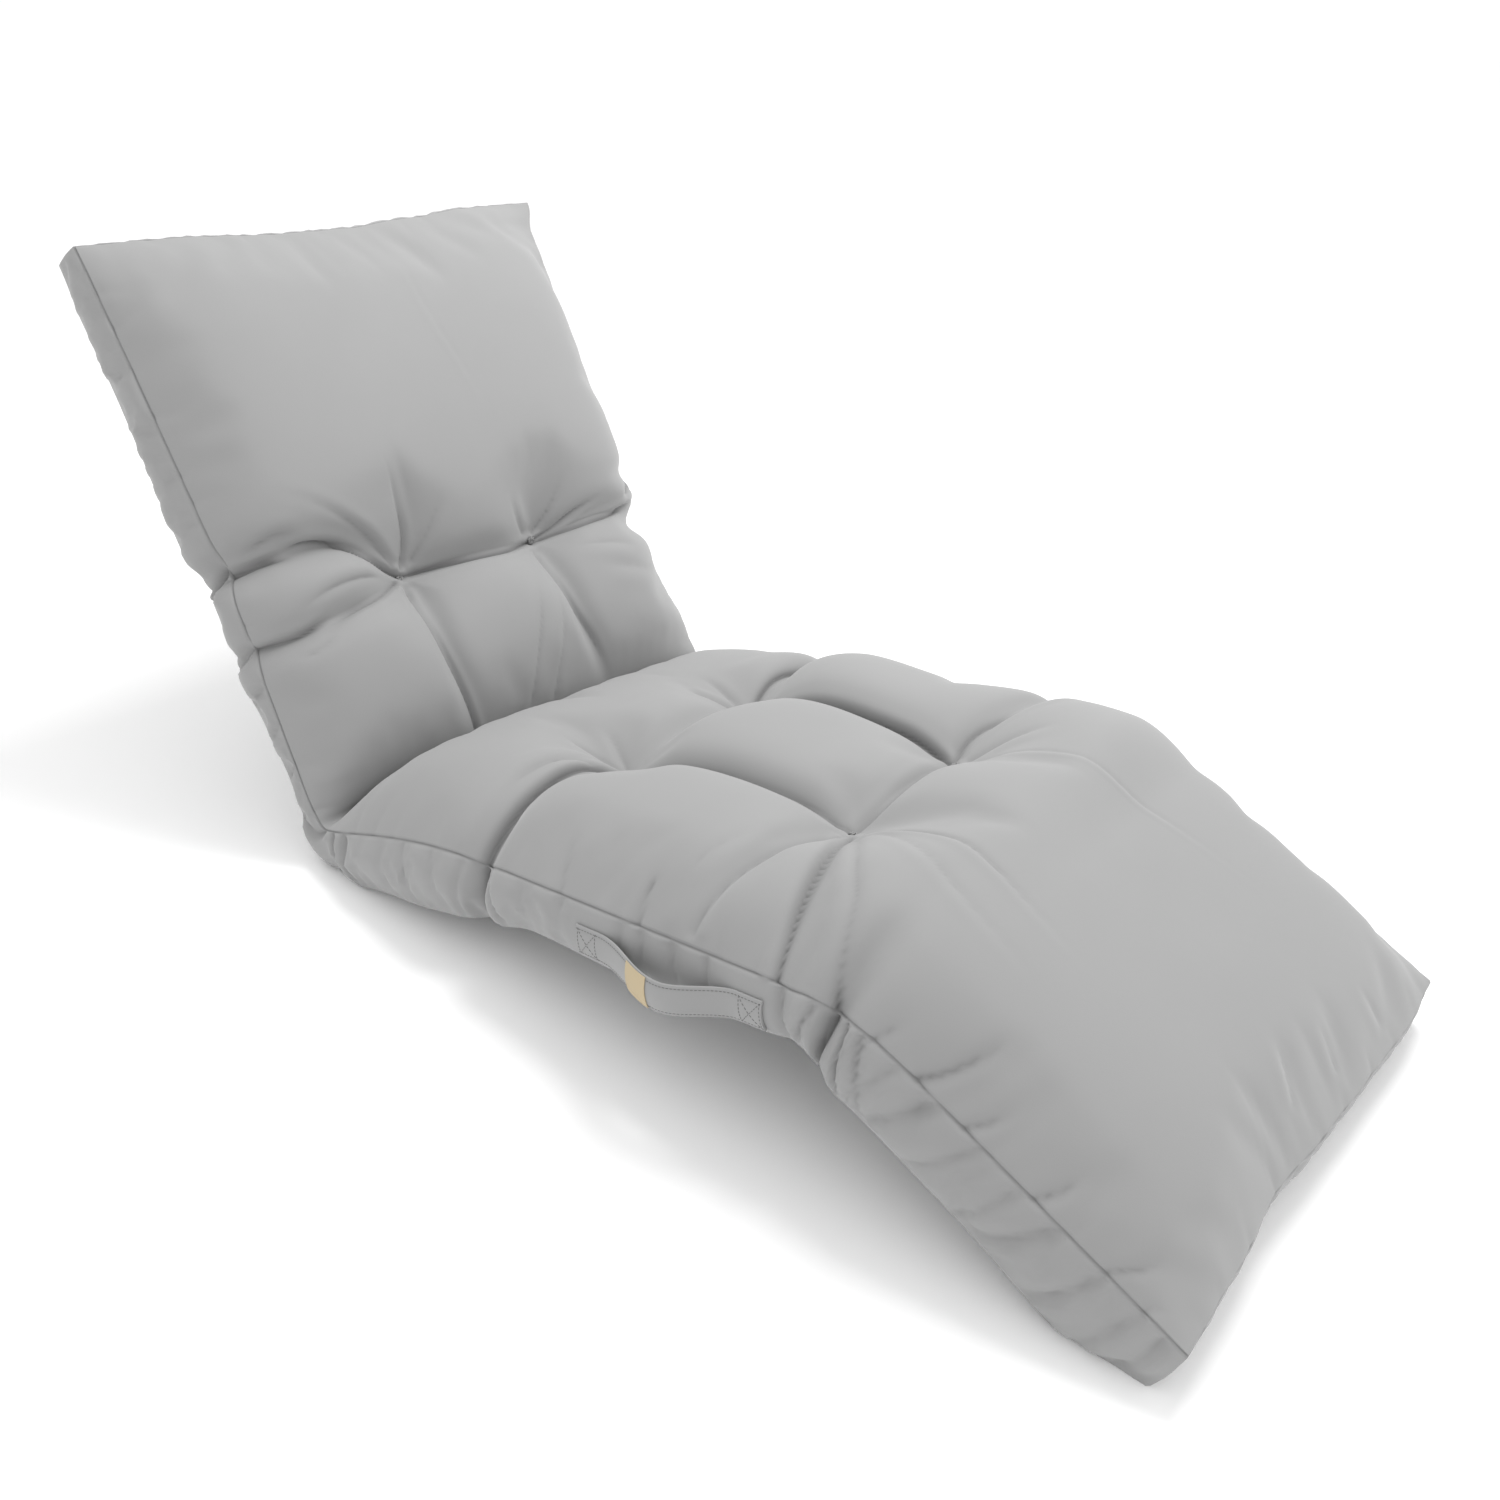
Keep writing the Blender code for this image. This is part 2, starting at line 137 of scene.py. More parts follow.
# the cover's flat form: the same sizes as the solid that it stands for
coverValues = {
    "length": 1.622,
    "halfWidths": (
        # s, left, right
        (0.00, 0.300, 0.324),
        (0.035, 0.299, 0.308),
        (0.13, 0.298, 0.303),
        (0.24, 0.298, 0.297),
        (0.34, 0.298, 0.294),
        (0.40, 0.299, 0.291),
        (0.48, 0.300, 0.290),
        (0.57, 0.300, 0.310),
        (0.64, 0.300, 0.318),
        (0.74, 0.300, 0.300),
        (1.622, 0.300, 0.300),
    ),
    "borderHeights": (
        # s, height of the border strip
        (0.00, 0.042),
        (0.05, 0.049),
        (0.12, 0.050),
        (0.28, 0.058),
        (0.335, 0.060),
        (0.385, 0.040),
        (0.44, 0.044),
        (0.51, 0.028),
        (0.56, 0.020),
        (0.60, 0.022),
        (0.63, 0.042),
        (0.67, 0.060),
        (0.78, 0.072),
        (0.87, 0.069),
        (0.94, 0.053),
        (1.08, 0.059),
        (1.22, 0.052),
        (1.25, 0.052),
        (1.285, 0.076),
        (1.45, 0.076),
        (1.55, 0.082),
        (1.622, 0.056),
    ),
    "sideSwell": 0.20,        # as a share of the border's height
    "headSwell": 0.006,
    "footSwell": 0.002,
    "headRun": (
        # x, how far the head seam runs past its line
        (-0.30, 0.0065),
        (-0.20, 0.0070),
        (-0.05, 0.0015),
        (0.03, 0.0015),
        (0.12, 0.0075),
        (0.22, 0.0145),
        (0.32, 0.0150),
    ),
    "footRun": (
        (-0.30, 0.0050),
        (-0.20, 0.0010),
        (-0.10, -0.0070),
        (0.00, 0.0000),
        (0.10, 0.0040),
        (0.22, 0.0080),
        (0.30, 0.0030),
    ),
    "runFade": 0.050,
    "crownHeights": (
        # s, left, right
        (0.00, 0.056, 0.056),
        (0.30, 0.058, 0.056),
        (0.45, 0.058, 0.050),
        (0.58, 0.058, 0.042),
        (0.80, 0.058, 0.040),
        (0.88, 0.060, 0.066),
        (0.96, 0.060, 0.072),
        (1.06, 0.060, 0.064),
        (1.19, 0.062, 0.078),
        (1.26, 0.062, 0.074),
        (1.33, 0.060, 0.044),
        (1.45, 0.060, 0.040),
        (1.622, 0.058, 0.040),
    ),
    "crownUnder": 0.012,
    "riseSide": 0.043,
    "riseEnd": 0.060,
    "riseHipBack": 0.040,
    "riseHipSeat": 0.030,
    "hipTouch": 1.10,         # rise per metre from the hip at which the back and the seat almost touch
    "hipGap": 0.0015,
    "crownBlend": 0.5,        # width over which the left crown height eases into the right one
    "underInset": 0.35,       # how far the under panel's edge stands in, in its own grid steps
    "seamRound": 0.030,
    "hipAt": 0.622,
    "headSlopeDeg": -53.35,
    "bends": (
        # at, turnDeg, over
        (0.36, -7.5, 0.20),
        (0.622, 82.7, 0.022),
        (0.80, -13.8, 0.25),
        (1.290, -30.5, 0.16),
    ),
    "tuftRows": (
        # at, half spacing, share of the crown left, reach
        (0.400, 0.098, 0.04, 0.042),
        (0.880, 0.098, 0.20, 0.042),
        (1.152, 0.090, 0.38, 0.045),
    ),
    "valleys": (
        # start (x, s), middle, end, depth share at start and end, half width
        ((-0.098, 0.400), (0.0, 0.400), (0.098, 0.404), 0.62, 0.62, 0.030),
        ((-0.098, 0.400), (-0.17, 0.352), (-0.300, 0.342), 0.60, 0.60, 0.026),
        ((-0.098, 0.400), (-0.20, 0.419), (-0.300, 0.430), 0.45, 0.30, 0.022),
        ((0.098, 0.404), (0.20, 0.396), (0.300, 0.405), 0.55, 0.60, 0.026),
        ((-0.098, 0.400), (-0.100, 0.500), (-0.085, 0.622), 0.35, 0.15, 0.022),
        ((0.098, 0.404), (0.105, 0.510), (0.135, 0.622), 0.35, 0.15, 0.022),
        ((-0.098, 0.880), (0.0, 0.880), (0.098, 0.880), 0.50, 0.50, 0.034),
        ((-0.098, 0.880), (-0.20, 0.867), (-0.300, 0.870), 0.55, 0.65, 0.024),
        ((0.098, 0.880), (0.20, 0.870), (0.300, 0.880), 0.60, 0.60, 0.026),
        ((-0.098, 0.880), (-0.088, 1.020), (-0.090, 1.152), 0.55, 0.55, 0.024),
        ((0.098, 0.880), (0.105, 1.020), (0.090, 1.152), 0.70, 0.70, 0.021),
        ((-0.090, 1.152), (0.0, 1.156), (0.090, 1.150), 0.45, 0.45, 0.026),
        ((-0.090, 1.152), (-0.19, 1.142), (-0.300, 1.130), 0.30, 0.10, 0.024),
        ((-0.090, 1.152), (-0.20, 1.195), (-0.300, 1.225), 0.45, 0.45, 0.024),
        ((0.090, 1.150), (0.19, 1.160), (0.300, 1.190), 0.50, 0.18, 0.024),
    ),
    "valleySharpness": 1.25,
    "pinches": (
        # side, at, drawn in, seam drop, half width
        (-1, 0.342, 0.016, 0.014, 0.020),
        (-1, 0.430, 0.007, 0.006, 0.014),
        (-1, 0.622, 0.003, 0.000, 0.020),
        (-1, 0.870, 0.016, 0.014, 0.018),
        (-1, 1.235, 0.004, 0.005, 0.012),
        (-1, 1.280, 0.012, 0.010, 0.014),
        (1, 0.352, 0.006, 0.006, 0.014),
        (1, 0.418, 0.014, 0.012, 0.020),
        (1, 0.880, 0.014, 0.010, 0.022),
        (1, 1.190, 0.003, 0.002, 0.022),
    ),
}


def smoothStep(t):
    t = np.clip(t, 0.0, 1.0)
    return t * t * (3.0 - 2.0 * t)


def eased(at, rows, column=1):
    # a value that eases from one row of a table to the next
    places = [row[0] for row in rows]
    values = np.array([row[column] for row in rows])
    low = np.clip(np.searchsorted(places, at, side="right") - 1, 0, len(rows) - 2)
    start, end = np.array(places)[low], np.array(places)[low + 1]
    return values[low] + (values[low + 1] - values[low]) * smoothStep((at - start) / (end - start))


def makeProfile(v, steps=4000):
    s = np.linspace(0.0, v["length"], steps)
    slope = np.full(steps, math.radians(v["headSlopeDeg"]))
    for at, turnDeg, over in v["bends"]:
        slope += math.radians(turnDeg) * smoothStep((s - at) / over + 0.5)
    ds = s[1] - s[0]
    y = -np.concatenate(([0.0], np.cumsum(np.cos(slope[:-1]) * ds)))
    z = np.concatenate(([0.0], np.cumsum(np.sin(slope[:-1]) * ds)))
    return s, y, z, slope


sideProfile = makeProfile(coverValues)
rowOffset = np.zeros(3)


def endRun(x, s):
    v = coverValues
    atHead = np.exp(-np.maximum(s, 0.0) / v["runFade"])
    atFoot = np.exp(-np.maximum(v["length"] - s, 0.0) / v["runFade"])
    return eased(x, v["footRun"]) * atFoot - eased(x, v["headRun"]) * atHead


def layOnProfile(x, s, n):
    fineS, fineY, fineZ, fineSlope = sideProfile
    s = s + endRun(x, s)
    on = np.clip(s, 0.0, coverValues["length"])
    past = s - on
    slope = np.interp(on, fineS, fineSlope)
    y = np.interp(on, fineS, fineY) - past * np.cos(slope) + n * np.sin(slope)
    z = np.interp(on, fineS, fineZ) + past * np.sin(slope) + n * np.cos(slope)
    return np.stack([x + 0.0 * y, y, z], axis=-1) + rowOffset


def curveThrough(points, perStep=10):
    # a smooth line through given points
    p = np.array(points, dtype=float)
    if len(p) < 3:
        return p[0] + np.linspace(0.0, 1.0, perStep + 1)[:, None] * (p[1] - p[0])
    p = np.vstack([2 * p[0] - p[1], p, 2 * p[-1] - p[-2]])
    out = []
    for a, b, c, d in zip(p[:-3], p[1:-2], p[2:-1], p[3:]):
        t = np.linspace(0.0, 1.0, perStep, endpoint=False)[:, None]
        bend, twist = 2 * a - 5 * b + 4 * c - d, 3 * b - a - 3 * c + d
        out.append(0.5 * (2 * b + (c - a) * t + bend * t**2 + twist * t**3))
    out.append(p[-2][None])
    return np.vstack(out)


def nearestOnLine(x, s, line):
    # distance, signed distance (positive to the left of the line's run) and share along it
    nearest = np.full(x.shape, np.inf)
    signed = np.zeros(x.shape)
    share = np.zeros(x.shape)
    count = len(line) - 1
    for step in range(count):
        a, b = line[step], line[step + 1]
        run = b - a
        along = np.clip(((x - a[0]) * run[0] + (s - a[1]) * run[1]) / (run @ run), 0.0, 1.0)
        dx, ds = x - a[0] - along * run[0], s - a[1] - along * run[1]
        away = np.hypot(dx, ds)
        closer = away < nearest
        side = np.sign(run[0] * ds - run[1] * dx)
        signed = np.where(closer, side * away, signed)
        share = np.where(closer, (step + along) / count, share)
        nearest = np.where(closer, away, nearest)
    return nearest, signed, share


def pinched(s, side):
    drawnIn = np.zeros(np.shape(s))
    drop = np.zeros(np.shape(s))
    for pinchSide, at, pinchIn, pinchDrop, halfWidth in coverValues["pinches"]:
        if pinchSide == side:
            share = np.exp(-(((s - at) / halfWidth) ** 2))
            drawnIn += pinchIn * share
            drop += pinchDrop * share
    return drawnIn, drop


def seamX(x, s):
    left = eased(s, coverValues["halfWidths"], 1) - pinched(s, -1)[0]
    right = eased(s, coverValues["halfWidths"], 2) - pinched(s, 1)[0]
    return np.where(x < 0, left, right)


def seamDrop(x, s):
    return np.where(x < 0, pinched(s, -1)[1], pinched(s, 1)[1])


def borderHeight(s):
    return eased(s, coverValues["borderHeights"])


def rise(distance, over):
    return 1.0 - np.exp(-np.maximum(distance, 0.0) / over)


def topHeight(x, s):
    v = coverValues
    inside = seamX(x, s) - np.abs(x)
    toRight = smoothStep(x / v["crownBlend"] + 0.5)
    height = eased(s, v["crownHeights"], 1) * (1.0 - toRight) + eased(s, v["crownHeights"], 2) * toRight
    height *= rise(inside, v["riseSide"])
    height *= rise(s, v["riseEnd"]) * rise(v["length"] - s, v["riseEnd"])
    toHip = np.abs(s - v["hipAt"])
    height *= rise(toHip, np.where(s < v["hipAt"], v["riseHipBack"], v["riseHipSeat"]))
    full = np.ones(x.shape)
    for at, halfSpacing, _, reach in v["tuftRows"]:
        for side in (-1, 1):
            full *= 1.0 - np.exp(-np.hypot(x - side * halfSpacing, s - at) / reach)
    for start, middle, end, startDepth, endDepth, halfWidth in v["valleys"]:
        away, _, share = nearestOnLine(x, s, curveThrough((start, middle, end)))
        depth = startDepth + (endDepth - startDepth) * share
        full *= 1.0 - depth * np.exp(-((away / halfWidth) ** v["valleySharpness"]))
    left = np.interp(s, [row[0] for row in v["tuftRows"]], [row[2] for row in v["tuftRows"]])
    height *= left + (1.0 - left) * full
    height = np.minimum(height, v["hipTouch"] * toHip + v["hipGap"])
    return height - seamDrop(x, s) * np.exp(-inside / v["seamRound"])


def underHeight(x, s):
    v = coverValues
    inside = seamX(x, s) - np.abs(x)
    crown = rise(inside, v["riseSide"]) * rise(s, v["riseEnd"]) * rise(v["length"] - s, v["riseEnd"])
    return -borderHeight(s) - v["crownUnder"] * crown


def borderPoint(x, s, up):
    v = coverValues
    swell = 4.0 * up * (1.0 - up)
    onLongSide = np.isclose(np.abs(x), seamX(x, s))
    ends = np.minimum(rise(s, v["seamRound"]), rise(v["length"] - s, v["seamRound"]))
    out = np.where(onLongSide, v["sideSwell"] * borderHeight(s) * swell * ends, 0.0)
    endSwell = np.where(s > v["length"] / 2, v["footSwell"], v["headSwell"])
    past = np.where(onLongSide, 0.0, endSwell * swell * rise(seamX(x, s) - np.abs(x), v["seamRound"]))
    low = -borderHeight(s)
    high = -seamDrop(x, s)
    return x + np.sign(x) * out, s + np.where(s > v["length"] / 2, past, -past), low + (high - low) * up


# the skin: a grid for the top, rows down the border, and a grid four times coarser underneath
def crowdedLines(count, start, end, crowding):
    fine = np.linspace(start, end, 4000)
    density = np.ones_like(fine)
    for at, extra, spread in crowding:
        density += extra * np.exp(-(((fine - at) / spread) ** 2))
    total = np.concatenate(([0.0], np.cumsum(density[:-1])))
    return np.interp(np.linspace(0.0, 1.0, count + 1), total / total[-1], fine)


def ringOf(countA, countS):
    # perimeter of a grid as (column, row), once round
    ring = [(a, 0) for a in range(countA)] + [(countA, s) for s in range(countS)]
    ring += [(a, countS) for a in range(countA, 0, -1)] + [(0, s) for s in range(countS, 0, -1)]
    return np.array(ring)


def makeSkin(sharesA, linesS, rows, rowCrowding=1.0):
    # sharesA runs across as a share of the half width, linesS along the cushion
    countA, countS = len(sharesA) - 1, len(linesS) - 1
    shareGrid, s = np.meshgrid(sharesA, linesS)
    x = shareGrid * seamX(shareGrid, s)
    skin = {"x": x, "s": s, "top": layOnProfile(x, s, topHeight(x, s))}
    ring = ringOf(countA, countS)
    ringX, ringS = x[ring[:, 1], ring[:, 0]], s[ring[:, 1], ring[:, 0]]
    ups = 1.0 - (np.arange(1, rows + 1) / rows) ** rowCrowding
    borderRows = [borderPoint(ringX, ringS, np.full(ringX.shape, up)) for up in ups]
    skin["border"] = np.array([layOnProfile(*row) for row in borderRows])
    skin["ring"], skin["ups"] = ring, ups
    coarseA, coarseS = sharesA[::4].copy(), linesS[::4].copy()
    inset = coverValues["underInset"]
    coarseA[0] += inset * (coarseA[1] - coarseA[0])
    coarseA[-1] -= inset * (coarseA[-1] - coarseA[-2])
    coarseS[0] += inset * (coarseS[1] - coarseS[0])
    coarseS[-1] -= inset * (coarseS[-1] - coarseS[-2])
    underShare, underS = np.meshgrid(coarseA, coarseS)
    underX = underShare * seamX(underShare, underS)
    skin["under"] = layOnProfile(underX, underS, underHeight(underX, underS))
    skin["underX"] = underX

    topIndex = np.arange((countA + 1) * (countS + 1)).reshape(countS + 1, countA + 1)
    quads = np.stack(
        [topIndex[:-1, :-1], topIndex[:-1, 1:], topIndex[1:, 1:], topIndex[1:, :-1]], -1
    ).reshape(-1, 4)
    loops = [topIndex[ring[:, 1], ring[:, 0]]]
    base = topIndex.size
    for row in range(rows):
        loops.append(base + row * len(ring) + np.arange(len(ring)))
    sides = [np.stack([a, b, np.roll(b, -1), np.roll(a, -1)], -1) for a, b in zip(loops[:-1], loops[1:])]
    base += rows * len(ring)
    underIndex = base + np.arange(underX.size).reshape(underX.shape)
    underQuads = np.stack(
        [underIndex[:-1, :-1], underIndex[1:, :-1], underIndex[1:, 1:], underIndex[:-1, 1:]], -1
    ).reshape(-1, 4)
    coarseRing = ringOf(countA // 4, countS // 4)
    inner = underIndex[coarseRing[:, 1], coarseRing[:, 0]]
    outer = loops[-1]
    fans = []
    for k in range(len(inner)):
        a, b = int(inner[k]), int(inner[(k + 1) % len(inner)])
        f = [int(outer[(4 * k + i) % len(outer)]) for i in range(5)]
        fans += [(f[0], f[1], a), (f[1], f[2], a), (a, f[2], b), (f[2], f[3], b), (f[3], f[4], b)]
    skin["faces"] = [tuple(q) for q in np.vstack([quads] + sides).tolist()]
    skin["faces"] += [tuple(q) for q in underQuads.tolist()] + [tuple(reversed(t)) for t in fans]
    return skin


def skinPoints(skin):
    return np.vstack([skin[part].reshape(-1, 3) for part in ("top", "border", "under")])


def splitPoints(points, skin):
    topCount, borderCount = skin["x"].size, skin["border"].shape[0] * skin["border"].shape[1]
    return (
        points[:topCount].reshape(skin["top"].shape),
        points[topCount : topCount + borderCount].reshape(skin["border"].shape),
        points[topCount + borderCount :].reshape(skin["under"].shape),
    )


def meshFrom(name, points, faces):
    mesh = bpy.data.meshes.new(name)
    mesh.from_pydata(points.tolist(), [], faces)
    bm = bmesh.new()
    bm.from_mesh(mesh)
    bmesh.ops.recalc_face_normals(bm, faces=bm.faces)
    bm.to_mesh(mesh)
    bm.free()
    mesh.shade_smooth()
    obj = bpy.data.objects.new(name, mesh)
    bpy.context.scene.collection.objects.link(obj)
    return obj


def setRowOffset():
    # the flat form's highest and furthest points go where the solid's are
    high = np.array(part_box("cushion")[1])
    ends = makeSkin(np.linspace(-1.0, 1.0, 25), np.linspace(0.0, coverValues["length"], 97), 4)
    rowOffset[:] = high - skinPoints(ends).max(axis=0)


setRowOffset()
print("cover form placed", rowOffset.round(4))


# filling the cover: Blender's cloth, blown up a little from inside, held at the seams and tufts
fillValues = {
    "columns": 64,
    "lines": 172,
    "borderRows": 6,
    "pressure": 4.0,
    "extraCloth": 0.03,       # share by which the cover is cut larger than its filling
    "frames": 20,
    "cap": 0.009,             # furthest that the filling may push a point
    "tuftHold": 0.007,        # radius round a tuft, and distance from the hip, that don't move
    "hipHold": 0.040,
    "smoothing": 3,           # passes that even out the steps between the cage's points
    "valleyShare": 0.75,      # share of the filling's push that is kept off the bottom of a valley
    "valleyReach": 0.016,
    "strapHeld": (0.995, 1.230),    # s range in which the border behind the strap stays put
    "clothSettings": {
        "quality": 6,
        "mass": 0.3,
        "tension_stiffness": 20.0,
        "compression_stiffness": 20.0,
        "shear_stiffness": 6.0,
        "bending_stiffness": 0.4,
        "tension_damping": 8.0,
        "compression_damping": 8.0,
        "shear_damping": 8.0,
        "air_damping": 2.0,
        "pin_stiffness": 1.0,
    },
}


def fillCover(v):
    cage = makeSkin(
        np.linspace(-1.0, 1.0, v["columns"] + 1),
        np.linspace(0.0, coverValues["length"], v["lines"] + 1),
        v["borderRows"],
    )
    before = skinPoints(cage)
    obj = meshFrom("coverCage", before, cage["faces"])
    hold = np.zeros(cage["x"].shape)
    for at, halfSpacing, _, _ in coverValues["tuftRows"]:
        for side in (-1, 1):
            hold[np.hypot(cage["x"] - side * halfSpacing, cage["s"] - at) < v["tuftHold"]] = 1.0
    hold[[0, -1], :] = 1.0
    hold[:, [0, -1]] = 1.0
    hold[np.abs(cage["s"] - coverValues["hipAt"]) < v["hipHold"]] = 1.0
    borderHold = np.zeros(cage["border"].shape[:2])
    borderHold[-1] = 1.0
    ringS = cage["s"][cage["ring"][:, 1], cage["ring"][:, 0]]
    ringX = cage["x"][cage["ring"][:, 1], cage["ring"][:, 0]]
    strapMiddle = (v["strapHeld"][0] + v["strapHeld"][1]) / 2
    strapReach = (v["strapHeld"][1] - v["strapHeld"][0]) / 2
    borderHold[:, (ringX < 0) & (np.abs(ringS - strapMiddle) < strapReach)] = 1.0
    weights = np.concatenate([hold.ravel(), borderHold.ravel(), np.ones(cage["underX"].size)])
    group = obj.vertex_groups.new(name="held")
    for index in np.nonzero(weights > 0)[0].tolist():
        group.add([index], float(weights[index]), "REPLACE")
    cloth = obj.modifiers.new("filling", "CLOTH")
    settings = cloth.settings
    for key, value in v["clothSettings"].items():
        setattr(settings, key, value)
    settings.use_pressure = True
    settings.uniform_pressure_force = v["pressure"]
    settings.shrink_min = -v["extraCloth"]
    settings.vertex_group_mass = "held"
    settings.effector_weights.gravity = 0.0
    cloth.collision_settings.use_collision = False
    cloth.point_cache.frame_start = 1
    cloth.point_cache.frame_end = v["frames"]
    for number in range(1, v["frames"] + 1):
        bpy.context.scene.frame_set(number)
    shaped = obj.evaluated_get(bpy.context.evaluated_depsgraph_get())
    after = np.empty(len(before) * 3)
    shaped.data.vertices.foreach_get("co", after)
    bpy.context.scene.frame_set(1)
    bpy.data.objects.remove(obj)
    moved = after.reshape(-1, 3) - before
    far = np.linalg.norm(moved, axis=1, keepdims=True)
    print("filling moved the cover by up to", float(far.max().round(4)), "m")
    moved *= np.minimum(1.0, v["cap"] / np.maximum(far, 1e-9))
    return cage, moved


def cubicWeights(at, count, wrap):
    # four neighbours and their weights for a smooth reading between evenly spaced values
    low = np.floor(at).astype(int)
    if not wrap:
        low = np.clip(low, 0, count - 2)
    t = at - low
    w = np.stack([
        -0.5 * t + t**2 - 0.5 * t**3,
        1 - 2.5 * t**2 + 1.5 * t**3,
        0.5 * t + 2 * t**2 - 1.5 * t**3,
        -0.5 * t**2 + 0.5 * t**3,
    ])
    index = np.stack([low - 1, low, low + 1, low + 2])
    return (index % count if wrap else np.clip(index, 0, count - 1)), w


def readGrid(values, atRow, atColumn):
    rows, rowWeights = cubicWeights(atRow, values.shape[0], False)
    columns, columnWeights = cubicWeights(atColumn, values.shape[1], False)
    out = np.zeros(atRow.shape + (3,))
    for i in range(4):
        for j in range(4):
            out += (rowWeights[i] * columnWeights[j])[..., None] * values[rows[i], columns[j]]
    return out


def addFilling(skin, sharesA, linesS, cage, moved, v):
    movedTop, movedBorder, _ = splitPoints(moved, cage)
    for _ in range(v["smoothing"]):
        inner = movedTop[1:-1, 1:-1]
        across = movedTop[1:-1, :-2] + movedTop[1:-1, 2:]
        along = movedTop[:-2, 1:-1] + movedTop[2:, 1:-1]
        movedTop[1:-1, 1:-1] = 0.5 * inner + 0.125 * (across + along)
    atColumn = (sharesA + 1.0) / 2.0 * v["columns"]
    atRow = linesS / coverValues["length"] * v["lines"]
    columnGrid, rowGrid = np.meshgrid(atColumn, atRow)
    kept = np.ones(skin["x"].shape)
    for start, middle, end, _, _, _ in coverValues["valleys"]:
        away, _, _ = nearestOnLine(skin["x"], skin["s"], curveThrough((start, middle, end)))
        kept = np.minimum(kept, 1.0 - v["valleyShare"] * np.exp(-((away / v["valleyReach"]) ** 2)))
    skin["top"] += readGrid(movedTop, rowGrid, columnGrid) * kept[..., None]
    # the border's own ring, read round the cage's ring
    ring = skin["ring"]
    cageRing = 2 * (v["columns"] + v["lines"])
    column, row = atColumn[ring[:, 0]], atRow[ring[:, 1]]
    lastColumn, lastRow = len(sharesA) - 1, len(linesS) - 1
    around = np.where(
        (ring[:, 1] == 0) & (ring[:, 0] < lastColumn), column,
        np.where(
            (ring[:, 0] == lastColumn) & (ring[:, 1] < lastRow), v["columns"] + row,
            np.where(
                (ring[:, 1] == lastRow) & (ring[:, 0] > 0),
                v["columns"] + v["lines"] + (v["columns"] - column),
                2 * v["columns"] + v["lines"] + (v["lines"] - row),
            ),
        ),
    )
    cageTopRing = movedTop[cage["ring"][:, 1], cage["ring"][:, 0]]
    cageRows = np.concatenate([cageTopRing[None], movedBorder])
    index, weight = cubicWeights(around, cageRing, True)
    for k, up in enumerate(skin["ups"]):
        level = (1.0 - up) * v["borderRows"]
        low = min(int(level), v["borderRows"] - 1)
        mix = level - low
        for i in range(4):
            rowValue = cageRows[low, index[i]] * (1 - mix) + cageRows[low + 1, index[i]] * mix
            skin["border"][k] += weight[i][:, None] * rowValue
